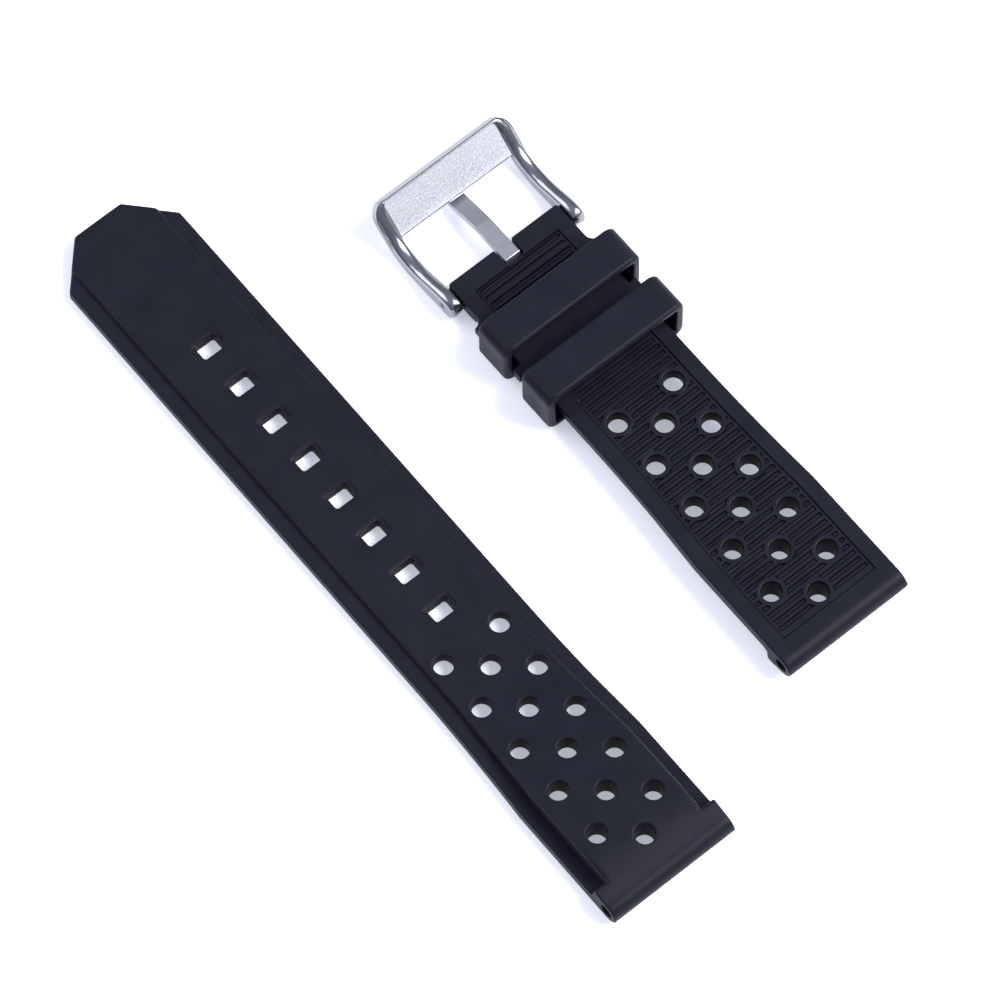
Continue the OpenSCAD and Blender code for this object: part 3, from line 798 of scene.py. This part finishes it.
def build_half(half, name, node, place, *bores):
    """One half: a closed mesh over its net, cut by its bores."""
    s, rim = half.s, half.rim
    net = Net()
    net.loop(rim)
    for d in edge_steps(s.edge_r)[1:]:
        net.line(offset_line(rim, -d))
    for x in edge_steps(s.bead_r, 10)[1:]:
        y = half.half_width(x)
        net.line([(x, v) for v in np.linspace(-y, y, 15)])
    for centre in half.rally_points():
        for d in edge_steps(s.rally_lip):
            net.loop(circle(centre, s.rally_d / 2 + d))
    half.draw_own(net)
    for gap in edge_steps(s.panel_r) + [-WALL_LEAN, -WALL_LEAN * 0.5]:
        line = half.panel_line(gap)
        net.line(line)
        net.line([(x, -y) for x, y in line])
    for ribs in half.fields:
        ribs.draw(net)
    dots = hex_dots(2 * MM, half.reach, s.lug_end_w / 2, NET_STEP)
    good = contains(rim, dots) & (away(dots, rim) > CLEAR)
    good &= half.rally_gap(dots, s.rally_d / 2) > CLEAR
    good &= half.hole_gap(dots) > HOLE_CLEAR
    good &= np.abs(half.panel_depth(dots) - WALL_MIDDLE) > WALL_CLEAR
    for ribs in half.fields:
        good &= ribs.field_depth(dots) < -FIELD_CLEAR
    net.dots(dots[good])
    holes = [soft_rect(*h) for h in half.holes] + [circle(c, s.rally_d / 2) for c in half.rally_points()]
    net.fill(lambda xy: contains(rim, xy) & ~np.any([contains(loop, xy) for loop in holes], axis=0))

    def lips(xy):
        gap = half.rally_gap(xy, s.rally_d / 2)
        return drop(gap, s.rally_lip) + drop(half.hole_gap(xy), s.hole_lip)

    def top_z(xy):
        z = half.outer_z(xy) + half.own_rise(xy) - lips(xy)
        low = np.minimum(half.thickness(xy[:, 0]) / 2, z)
        return np.maximum(z - drop(away(xy, rim), s.edge_r), low)

    def bottom_z(xy):
        z = drop(xy[:, 0], s.bead_r) + sum(ribs.rise(xy) for ribs in half.fields) + lips(xy)
        high = np.maximum(half.thickness(xy[:, 0]) / 2, z)
        return np.minimum(z + drop(away(xy, rim), s.edge_r), high)

    verts, faces = closed_solid(net, top_z, bottom_z)
    # Steep walls of grooves and holes take the near-black rubber, painted shade there
    piece = mesh_piece(name, verts, faces, place, [finish("moulded_rubber"), finish("wall_shade_rubber")],
                       wall_faces(half.fields, net, rim, verts, faces))
    bore(piece, place @ Vector((s.bead_r, 0, s.bead_r)), s.bore_d / 2, s.lug_end_w / 2, LUG_BORE_LIP)
    for cut in bores:
        bore(piece, *cut)
    dress(piece, "straps", "strap_rubber", node)


class TailHalf(Half):
    """The long half, with its tip and its framed tongue holes."""

    def __init__(self):
        s = sizes("strap")
        # Its flanges run on past the tip
        super().__init__(s.tail_w, s.tail_len, s.tail_len + 5 * MM)
        side = self.side(s.tail_len - s.tip_cut - 3 * MM)
        corners = [side[-1], (s.tail_len - s.tip_cut, s.tail_w / 2), (s.tail_len, s.tip_w / 2),
                   (s.tail_len, 0)]
        tip = rounded_line(corners, [0, s.tip_r, s.tip_r, 0])
        self.rim = mirrored(side + spaced(tip, 1 * MM)[1:])
        first = s.tail_len - s.hole_x
        middles = [(first - i * s.hole_pitch, 0) for i in range(s.tongue_holes)]
        framed = (s.hole_l + 2 * s.hole_frame, s.hole_w + 2 * s.hole_frame)
        self.holes = [(c, (s.hole_l, s.hole_w), s.hole_r) for c in middles]
        self.frames = [(c, framed, s.hole_r) for c in middles]
        self.fields = [Ribs(self, s.field_end, first + s.hole_pitch / 2)]

    def draw_own(self, net):
        lips = [(h, d) for d in edge_steps(self.s.hole_lip, 3) for h in self.holes]
        for rect, d in lips + [(f, d) for d in (-STEP, STEP) for f in self.frames]:
            net.loop(soft_rect(*rect, grow=d))

    def own_rise(self, xy):
        """The sunk frames round the tongue holes."""
        s = self.s
        return -s.hole_frame_d * (1 - ease(-STEP, STEP, self.hole_gap(xy) - s.hole_frame))


def place_of(rows, name):
    """Where the one of these joints or mounts that has this name lies in the frame."""
    return Vector(next(row for row in rows if row["name"] == name)["pos_m"])


def joint_place(name):
    """Where the joint of that name lies in the frame."""
    return place_of(frame["joints"], name)


def buckle_half_place():
    """Lays the plan of the buckle half between its lug bore and the buckle bar."""
    s, p = sizes("strap"), sizes("loops")
    bar = joint_place("buckle_swing")
    own_bar = Vector((s.buckle_len - p.bar_x, 0, p.bar_end_t / 2))
    own = own_bar - Vector((s.bead_r, 0, s.bead_r))
    real = bar - place_of(frame["record"]["mounts"], "buckle_half_lug_bore")
    turn = Matrix.Rotation(atan2(own.z, own.x) - atan2(real.z, real.x), 4, "Y")
    return Matrix.Translation(bar - turn @ own_bar) @ turn


# Chamfer of a stop, corner radii of the rubber's end and of the slot's mouth, and length of the
# slope up to the thicker end
STOP_CHAMFER, END_R, MOUTH_R, BAR_SLOPE = 0.1 * MM, 0.5 * MM, 0.3 * MM, 0.2 * MM


def stop_line(y, top, x0, x1, neck_first):
    """Outline of one stop: a hollow neck on its far side and a square shoulder."""
    r = top - y
    line = [(x0 + r * sin(a), top - r * cos(a)) for a in np.linspace(0, pi / 2, 8)]
    line += [(x1 - STOP_CHAMFER, top), (x1, top - STOP_CHAMFER), (x1, y)]
    return line if neck_first else [(x0 + x1 - x, v) for x, v in reversed(line)]


class BuckleHalf(Half):
    """The short half, with its stops, the slot for the tongue and the thicker end round the bar."""

    def __init__(self):
        s, p = sizes("strap"), sizes("loops")
        waist_end = s.buckle_len - p.first_x + p.play
        waist_start = waist_end - p.loop_len - 2 * p.play
        super().__init__(s.buckle_w, s.buckle_len, waist_end + p.stop_len)
        y, top = s.buckle_w / 2, p.loop_w / 2 - p.wall + p.stop_bite
        side = self.side(waist_start - p.stop_len - 0.7 * MM)
        side += stop_line(y, top, waist_start - p.stop_len, waist_start, True)
        side += spaced([(waist_start + 0.3 * MM, y), (waist_end - 0.3 * MM, y)], 1.2 * MM)
        side += stop_line(y, top, waist_end, self.end, False)
        slot_x, slot_y = s.buckle_len - p.slot_d, p.slot_w / 2
        corners = [(self.end + 0.5 * MM, y), (s.buckle_len, y), (s.buckle_len, slot_y), (slot_x, slot_y),
                   (slot_x, 0)]
        end = rounded_line(corners, [0, END_R, MOUTH_R, p.slot_r, 0])
        self.rim = mirrored(side + spaced(end, 1.2 * MM))
        self.bar_end_x = s.buckle_len - p.bar_end_len
        free_loop = s.buckle_len - p.first_x - 1.5 * p.loop_len - p.stop_len - 2 * p.play
        block_end = slot_x - s.groove_w / 2
        block = Ribs(self, block_end - s.block_grooves * s.rib_pitch, block_end, s.block_grooves)
        self.fields = [Ribs(self, s.field_end, free_loop), block]

    def panel_line(self, gap):
        """The shared line with the end of the flange beside the stops."""
        line = super().panel_line(gap)
        edge, end = line[-1][1], self.end
        if gap > 0:
            line += [(end + gap * sin(a), edge + gap - gap * cos(a)) for a in np.linspace(0, pi / 2, 7)]
        else:
            line.append((end + gap, edge))
        return line + [(end + gap, self.width / 2)]

    def draw_own(self, net):
        y = self.width / 2 - 1 * MM
        for x in (self.bar_end_x - BAR_SLOPE, self.bar_end_x):
            net.line([(x, -y), (x, y)])

    def own_rise(self, xy):
        """The thicker end round the bar."""
        step = sizes("loops").bar_end_t - self.s.thin_t
        return step * ease(self.bar_end_x - BAR_SLOPE, self.bar_end_x, xy[:, 0])


# Loops

def spread(loop, across=14, down=5):
    """A round-cornered rectangle's loop with even points on its four straight stretches."""
    count = len(loop) // 4
    line = []
    for quarter in range(4):
        line += loop[quarter * count:(quarter + 1) * count]
        after = loop[(quarter + 1) * count % len(loop)]
        line += even_points(line[-1], after, down if quarter % 2 else across)[:-1]
    return line


def build_loop(name, start, body, node):
    """One moulded loop: a flat band with rounded edges, closed round the strap."""
    s, p = sizes("strap"), sizes("loops")
    r, inner_r = p.edge_r, p.inner_edge_r
    section = []
    for cx, cy, radius, quarter in ((r, r, r, 2), (p.loop_len - r, r, r, 3),
                                    (p.loop_len - inner_r, p.wall - inner_r, inner_r, 0),
                                    (inner_r, p.wall - inner_r, inner_r, 1)):
        section += quarter_arc(cx, cy, radius, quarter)
    rings = []
    for along, depth in spaced(section + section[:1], 0.8 * MM)[:-1]:
        size = (p.loop_w - 2 * depth, p.loop_h - 2 * depth)
        radius = p.corner_r + (p.inner_r - p.corner_r) * depth / p.wall
        rings.append([(along, u, v) for u, v in spread(soft_rect((0, 0), size, radius, 8))])
    z = s.thin_t + p.gap + p.wall - p.loop_h / 2
    place = buckle_half_place() @ Matrix.Translation((start, 0, z))
    piece = mesh_piece(name, *rings_mesh(rings, True), place, [finish("satin_moulded_rubber")])
    dress(piece, body, "loop_rubber", node)


# Buckle

# Corner radii of the blasted face and of the window, and the spacing of the rows over the frame
FACE_CORNER, WINDOW_CORNER, ROW = 0.4 * MM, 0.3 * MM, 0.3 * MM
# The cross piece counts from this far inside the window
PLATE_LEAD = 0.4 * MM
# Share of an arm's width or height that a rounding may take up, and the least radius of its outer
# and its inner one
CREST_SHARE, OUTER_LEAST, INNER_LEAST = 0.47, 0.2 * MM, 0.05 * MM
# Rounding of the blasted face's edge at the window, and width of the polished strip along it
FACE_LIP, FACE_BORDER = 0.15 * MM, 0.12 * MM


class FrameShape:
    """The buckle frame as a bent plate: x along its outer curve's plan, y across, height off the curve."""

    # Spacing of the points along its lines
    SPACING = 0.4 * MM

    def __init__(self):
        b = self.b = sizes("buckle")
        self.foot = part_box("buckle_frame")[0].z - joint_place("buckle_swing").z
        self.half_w = b.gap / 2 + b.arm_t
        self.start = -b.arm_end_x - b.arm_end_r
        self.face_end = b.rim_x - b.rim_w
        self.channel_x = b.rim_x - b.channel_end
        self.channel_y = b.tongue_w / 2 + b.channel_gap

    def ball(self, x):
        """Half the height of the round end of an arm."""
        b = self.b
        return np.sqrt(np.clip(b.arm_end_r ** 2 - (x + b.arm_end_x) ** 2, 0, None))

    def lean(self, x):
        """Slope of the outer curve: none at the arms, then an arc that runs on straight."""
        b = self.b
        return np.arcsin(np.clip((x - b.belly_x) / b.frame_r, 0, sin(b.rise)))

    def arm(self, x, end, foot):
        """Height of a side of an arm, from its round end to the foot of the curve."""
        return end + (foot - end) * soft_ease(-self.b.arm_end_x, self.b.belly_x, x)

    def under(self, x):
        """Height of the outer curve."""
        b, a = self.b, self.lean(x)
        past = np.clip(x - b.belly_x - b.frame_r * np.sin(a), 0, None)
        bow = self.foot + b.frame_r * (1 - np.cos(a)) + past * np.tan(a)
        arm = self.arm(x, -b.arm_end_r, self.foot)
        return np.where(x < -b.arm_end_x, -self.ball(x), np.where(x < b.belly_x, arm, bow))

    def thickness(self, x):
        """Height of the arms and the rim off the outer curve."""
        b = self.b
        band = b.arm_h + (b.rim_t - b.arm_h) * ease(b.belly_x, b.rim_x, x)
        arm = self.arm(x, b.arm_end_r, self.foot + b.arm_h) - self.under(x)
        return np.where(x < -b.arm_end_x, 2 * self.ball(x), np.where(x < b.belly_x, arm, band))

    def at(self, x, height):
        """Real place in the side view of a point off the outer curve."""
        a = self.lean(x)
        return x - height * np.sin(a), self.under(x) + height * np.cos(a)

    def line(self, y, inset, end, r):
        """Line from the end of one arm round to the end of the other, inset at its ends."""
        corners = [(self.start, y + inset), (self.start, y), (end, y), (end, 0)]
        line = rounded_line(corners, [0, abs(inset) * 0.99, r, 0])
        return mirrored(spaced(line, self.SPACING))

    def hollow(self, gap):
        """Line round the window and the blasted face, at a distance outside them."""
        y, end = self.b.gap / 2 + gap, self.face_end + gap
        corners = [(self.start + self.SPACING, y), (end, y), (end, 0)]
        line = rounded_line(corners, [0, FACE_CORNER + gap, 0])
        return mirrored(spaced(line, self.SPACING))

    def border(self, xy):
        """Distance of each point outside the window and the blasted face, negative inside them."""
        far = -20 * MM
        return rect_depth(xy, ((self.face_end + far) / 2, 0), (self.face_end - far, self.b.gap), FACE_CORNER)

    def channel(self, xy):
        """Distance of each point inside the tongue's channel from its walls."""
        return np.minimum(self.channel_x - xy[:, 0], self.channel_y - np.abs(xy[:, 1]))

    def plate(self, xy):
        """Whether each point lies on the cross piece."""
        return xy[:, 0] > self.b.window_x - PLATE_LEAD


def build_frame():
    """The frame: polished arms and rim, with a blasted face and the tongue's channel."""
    shape = FrameShape()
    b = shape.b
    outer = shape.line(shape.half_w, -b.arm_corner, b.rim_x, b.corner_r)
    inner = shape.line(b.gap / 2, b.arm_corner, b.window_x, WINDOW_CORNER)
    rim = outer + inner[::-1]
    side = b.gap / 2
    crest_steps, lower_steps = edge_steps(b.crest_r, 7)[1:], edge_steps(b.edge_r, 3)[1:]

    net = Net()
    net.loop(rim)
    for d in crest_steps + lower_steps:
        net.line(offset_line(outer, -d))
    for d in [-STEP, 0] + crest_steps + lower_steps:
        net.line(shape.hollow(d))
    plate_rows = [b.window_x + d for d in lower_steps]
    for x in plate_rows + list(np.arange(b.window_x + ROW, b.rim_x - b.edge_r, ROW)):
        net.line([(x, y) for y in np.linspace(-side, side, 30)])
    arm_rows = [shape.start + d for d in edge_steps(b.arm_end_r, 10)[1:]]
    for x in arm_rows + list(np.arange(0, b.rim_x, ROW)):
        for sign in (-1, 1):
            net.line([(x, sign * (side + INSIDE)), (x, sign * (shape.half_w - INSIDE))])
    start = b.window_x + 2 * INSIDE
    for d in (-STEP, STEP):
        x, y = shape.channel_x - d, shape.channel_y - d
        net.line([(start, y), (x, y), (x, -y), (start, -y)])
    net.fill(lambda xy: contains(rim, xy))

    def top(xy):
        thick = shape.thickness(xy[:, 0])
        out, gap = away(xy, outer), shape.border(xy)
        broad = CREST_SHARE * np.minimum(np.maximum(out + gap, 0), thick)
        crest = thick - drop(out, np.clip(broad, OUTER_LEAST, b.crest_r))
        crest -= drop(np.maximum(gap, 0), np.clip(broad, INNER_LEAST, b.crest_r))
        crest = np.where(shape.plate(xy), np.maximum(crest, b.face_t), crest)
        inside = ease(0, STEP, -gap) * shape.plate(xy)
        z = crest + (b.face_t - drop(away(xy, inner), FACE_LIP) - crest) * inside
        return np.maximum(z, thick / 2)

    def bottom(xy):
        edge = np.minimum(away(xy, outer), away(xy, inner))
        inside = ease(-STEP, STEP, shape.channel(xy)) * shape.plate(xy)
        z = np.maximum(drop(edge, b.edge_r), b.channel_d * inside)
        return np.minimum(z, top(xy) - 0.05 * shape.thickness(xy[:, 0]))

    verts, faces = closed_solid(net, top, bottom)
    along, height = shape.at(verts[:, 0], verts[:, 2])
    middles = net.xy[net.tris].mean(axis=1)
    blasted = (shape.border(middles) < 0) & (middles[:, 0] > b.window_x + FACE_BORDER)
    finish_of = np.zeros(len(faces), int)
    finish_of[:len(blasted)] = blasted
    place = Matrix.Translation(joint_place("buckle_swing")) @ HALF_TURN
    piece = mesh_piece("buckle_frame_polished", np.column_stack([along, verts[:, 1], height]), faces,
                       place, [finish("polished_steel"), finish("blasted_steel")], finish_of)
    bore(piece, joint_place("buckle_swing"), b.pin_bore_r, shape.half_w, BAR_BORE_LIP)
    dress(piece, "buckle_frame", "buckle_steel", "buckle_frame")


def build_tongue():
    """The tongue: one strip that starts at its eye, bends down and follows its channel."""
    shape = FrameShape()
    b = shape.b
    half_t = b.tongue_t / 2
    # Where the eye meets the flat top, and the radii of the bends and of the flat top's end
    flat_x, bend_r, end_r = 0.4 * MM, 0.8 * MM, 0.22 * MM
    z = b.eye_r - b.eye_rise - half_t
    seat = b.channel_d - b.tongue_gap - half_t
    path = [(0, z), (b.bend_x, z)]
    path += [shape.at(x, seat)
             for x in np.linspace(b.window_x - b.tongue_lead, b.rim_x - b.tongue_back, 9)]
    path = spaced(rounded_line(path, [0, bend_r, bend_r] + [0] * (len(path) - 3)), 0.5 * MM)
    upper = [p for p in offset_line(path, half_t) if p[0] > flat_x]
    lower = [p for p in offset_line(path, -half_t) if p[0] > b.eye_r + 0.05 * MM]
    eye = [(b.eye_r * cos(a), b.eye_r * sin(a))
           for a in np.linspace(2 * pi - asin((half_t - z) / b.eye_r), radians(165), 36)]
    top = z + half_t
    eye += rounded_line([eye[-1], (-b.eye_end, top), (flat_x, top)], [0, end_r, 0])[1:-1]
    line = (eye + upper + lower[::-1])[::-1]
    if not contains(line, np.array([(b.bend_x / 2, z)]))[0]:
        raise RuntimeError("the tongue's outline is broken")
    hole = circle((0, 0), sizes("loops").bar_bore_r, 40)
    net = Net()
    net.loop(line)
    net.loop(hole)
    for d in edge_steps(b.tongue_edge, 4)[1:]:
        net.loop(offset_line(line, d, True))
    net.fill(lambda xy: contains(line, xy) & ~contains(hole, xy))

    def side(xy):
        return b.tongue_w / 2 - drop(away(xy, line + line[:1]), b.tongue_edge)

    verts, faces = closed_solid(net, side, lambda xy: -side(xy))
    axes = Matrix(((-1, 0, 0, 0), (0, 0, 1, 0), (0, 1, 0, 0), (0, 0, 0, 1)))
    turn = Matrix.Rotation(-b.tongue_drop, 4, "Y")
    place = Matrix.Translation(joint_place("tongue_swing")) @ turn @ axes
    piece = mesh_piece("tongue_brushed", verts, faces, place, [finish("brushed_steel")])
    dress(piece, "buckle_tongue", "tongue_steel", "buckle_tongue")


# Sprung bar

def build_spring_half(name, side):
    """Half of the bar's spring, from its middle to the pin that presses it together."""
    b = sizes("buckle")
    low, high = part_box("bar_spring")
    middle = (low + high) / 2
    wire = b.spring_wire / 2
    r, reach = (high.x - low.x) / 2 - wire, (high.y - low.y) / 2 - wire
    # Points round one turn of the spring, and round its wire
    steps, sides = 20, 8
    count = int(b.spring_turns / 2 * steps)
    rings = []
    for i in range(count + 1):
        turn = side * 2 * pi * i / steps
        along = side * reach * i / count
        rings.append([((r + u) * cos(turn), along + v, (r + u) * sin(turn))
                      for u, v in circle((0, 0), wire, sides)])
    piece = mesh_piece(name, *rings_mesh(rings), Matrix.Translation(middle), [finish("drawn_spring_wire")])
    dress(piece, "straps", "spring_steel", "bar_spring")
    apply_modifiers(piece)
    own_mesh(piece)


# Stage

AZIMUTH, ELEVATION, DISTANCE = 50.65, 67.0, 1.131
TARGET = Vector((3.77, -3.88, 0)) * MM
FOCAL_PX, PHOTO_PX, SENSOR = 8751, 994, 36


def aimed(name, data, place, target):
    """A camera or a lamp at a place, turned to its target."""
    obj = placed(name, data)
    obj.location = place
    obj.rotation_mode = "QUATERNION"
    obj.rotation_quaternion = (Vector(target) - Vector(place)).to_track_quat("-Z", "Y")
    return obj


def build_camera():
    """The camera of the photograph, as fitted to both halves."""
    a, e = radians(AZIMUTH), radians(ELEVATION)
    look = Vector((-sin(a) * cos(e), cos(a) * cos(e), -sin(e)))
    data = bpy.data.cameras.new("camera")
    data.lens = FOCAL_PX / PHOTO_PX * SENSOR
    data.sensor_width = SENSOR
    data.clip_start, data.clip_end = 0.01, 20
    bpy.context.scene.camera = aimed("camera", data, TARGET - look * DISTANCE, TARGET)


# White that the floor adds where the camera or a reflection sees it, and half the floor's width
FLOOR_LIFT, FLOOR_R = 0.44, 3.0
LIFT_COLOUR, ROOM_COLOUR = "#eef1ff", "#e4eaff"
# Soft boxes: the place, size and power of each
LAMPS = {"key": ((0.5, 0.7, 0.9), 0.7, 22), "fill": ((-0.9, -0.6, 0.7), 0.9, 7)}


def build_floor():
    """A wide pale floor that keeps the shadows and is white to the camera."""
    mesh = bpy.data.meshes.new("floor")
    corners = [(x * FLOOR_R, y * FLOOR_R, 0) for x, y in ((-1, -1), (1, -1), (1, 1), (-1, 1))]
    mesh.from_pydata(corners, [], [(0, 1, 2, 3)])
    floor = placed("floor", mesh)
    floor.location.z = -0.02 * MM
    material, tree, shader = new_material("matt_paper")
    shader.inputs["Base Color"].default_value = linear(sizes("finishes").floor)
    shader.inputs["Roughness"].default_value = 0.9
    shader.inputs["Specular IOR Level"].default_value = 0.2
    shader.inputs["Emission Color"].default_value = linear(LIFT_COLOUR)
    path = add_node(tree, "LightPath").outputs
    seen = add_node(tree, "Math", {"operation": "MAXIMUM"},
                    {0: path["Is Camera Ray"], 1: path["Is Glossy Ray"]})
    lift = add_node(tree, "Math", {"operation": "MULTIPLY", 1: FLOOR_LIFT}, {0: seen.outputs[0]})
    tree.links.new(lift.outputs[0], shader.inputs["Emission Strength"])
    mesh.materials.append(material)


def lamp(name, place, size, power):
    """A soft box: a square lamp that looks at the middle of the frame."""
    data = bpy.data.lights.new(name, "AREA")
    data.shape = "SQUARE"
    data.size = size
    data.energy = power
    aimed(name, data, place, (0, 0, 0))


def build_world():
    """An even room, paler above, and white where the camera sees it."""
    world = bpy.data.worlds.new("room")
    world.use_nodes = True
    bpy.context.scene.world = world
    tree = world.node_tree
    tree.nodes.clear()
    seen = add_node(tree, "LightPath").outputs["Is Camera Ray"]
    way = add_node(tree, "TexCoord").outputs["Generated"]
    height = add_node(tree, "SeparateXYZ", {}, {"Vector": way}).outputs["Z"]
    level = add_node(tree, "MapRange", {"To Min": 0.2, "To Max": 0.6}, {"Value": height})
    room = add_node(tree, "Background", {"Color": linear(ROOM_COLOUR)}, {"Strength": level.outputs[0]})
    white = add_node(tree, "Background", {"Color": (1, 1, 1, 1), "Strength": 1.0})
    mix = add_node(tree, "MixShader", {}, {0: seen, 1: room.outputs[0], 2: white.outputs[0]})
    tree.links.new(mix.outputs[0], add_node(tree, "OutputWorld").inputs[0])


# Operators

class RALLY_OT_stage(bpy.types.Operator):
    """Sets up the camera, the floor, the room and the soft boxes"""

    bl_idname = "rally.stage"
    bl_label = "Stage"

    def execute(self, context):
        context.scene.view_settings.view_transform = "Standard"
        build_camera()
        build_floor()
        build_world()
        for name, (place, size, power) in LAMPS.items():
            lamp(name, place, size, power)
        return {"FINISHED"}


class RALLY_OT_tail_half(bpy.types.Operator):
    """Builds the tail half with its tongue holes, rally holes and flanges"""

    bl_idname = "rally.tail_half"
    bl_label = "Tail half"

    def execute(self, context):
        low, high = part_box("tail_strap")
        place = Matrix.Translation((high.x, (low.y + high.y) / 2, low.z)) @ HALF_TURN
        build_half(TailHalf(), "tail_half", "tail_strap", place)
        return {"FINISHED"}


class RALLY_OT_buckle_half(bpy.types.Operator):
    """Builds the buckle half with its ribbed wrist face, stops and slot"""

    bl_idname = "rally.buckle_half"
    bl_label = "Buckle half"

    def execute(self, context):
        half = BuckleHalf()
        bar_bore = (joint_place("buckle_swing"), sizes("loops").bar_bore_r, half.width / 2, BAR_BORE_LIP)
        build_half(half, "buckle_half", "buckle_strap", buckle_half_place(), bar_bore)
        return {"FINISHED"}


class RALLY_OT_loops(bpy.types.Operator):
    """Builds the first loop between its stops and the free loop beside it"""

    bl_idname = "rally.loops"
    bl_label = "Loops"

    def execute(self, context):
        s, p = sizes("strap"), sizes("loops")
        first = s.buckle_len - p.first_x - p.loop_len
        build_loop("first_loop_moulded", first, "straps", "first_loop")
        free = first - p.stop_len - 2 * p.play - p.loop_len
        build_loop("free_loop_moulded", free, "free_loop", "free_loop")
        return {"FINISHED"}


class RALLY_OT_buckle(bpy.types.Operator):
    """Builds the buckle frame and its tongue"""

    bl_idname = "rally.buckle"
    bl_label = "Buckle"

    def execute(self, context):
        build_frame()
        build_tongue()
        return {"FINISHED"}


class RALLY_OT_sprung_bar(bpy.types.Operator):
    """Gives the tube and the pins of the bar their finish and winds its spring"""

    bl_idname = "rally.sprung_bar"
    bl_label = "Sprung bar"

    def execute(self, context):
        for node in ("bar_tube", "left_bar_pin", "right_bar_pin"):
            obj = frame["nodes"][node]
            obj.data.materials.clear()
            obj.data.materials.append(finish("turned_steel_painted_shade"))
        build_spring_half("bar_spring_left", -1)
        build_spring_half("bar_spring_right", 1)
        return {"FINISHED"}


class RALLY_PT_panel(bpy.types.Panel):
    """Lists the parts of the strap"""

    bl_label = "Rally strap"
    bl_idname = "RALLY_PT_panel"
    bl_space_type = "VIEW_3D"
    bl_region_type = "UI"
    bl_category = "Strap"

    def draw(self, context):
        for operator in OPERATORS:
            self.layout.operator(operator.bl_idname)
        for group in GROUPS:
            for name in getattr(context.scene, "rally_" + group).bl_rna.properties.keys():
                if name not in ("rna_type", "name"):
                    self.layout.prop(getattr(context.scene, "rally_" + group), name)


GROUPS = {"strap": StrapSizes, "loops": LoopSizes, "buckle": BuckleSizes, "finishes": Finishes}
OPERATORS = (RALLY_OT_stage, RALLY_OT_tail_half, RALLY_OT_buckle_half, RALLY_OT_loops,
             RALLY_OT_buckle, RALLY_OT_sprung_bar)


def register():
    for cls in (*GROUPS.values(), *OPERATORS, RALLY_PT_panel):
        bpy.utils.register_class(cls)
    for group, cls in GROUPS.items():
        setattr(bpy.types.Scene, "rally_" + group, PointerProperty(type=cls))


def unregister():
    for group in GROUPS:
        delattr(bpy.types.Scene, "rally_" + group)
    for cls in (RALLY_PT_panel, *reversed(OPERATORS), *GROUPS.values()):
        bpy.utils.unregister_class(cls)


def main():
    """Builds everything."""
    register()
    for operator in OPERATORS:
        group, name = operator.bl_idname.split(".")
        getattr(getattr(bpy.ops, group), name)()


if __name__ == "__main__":
    main()
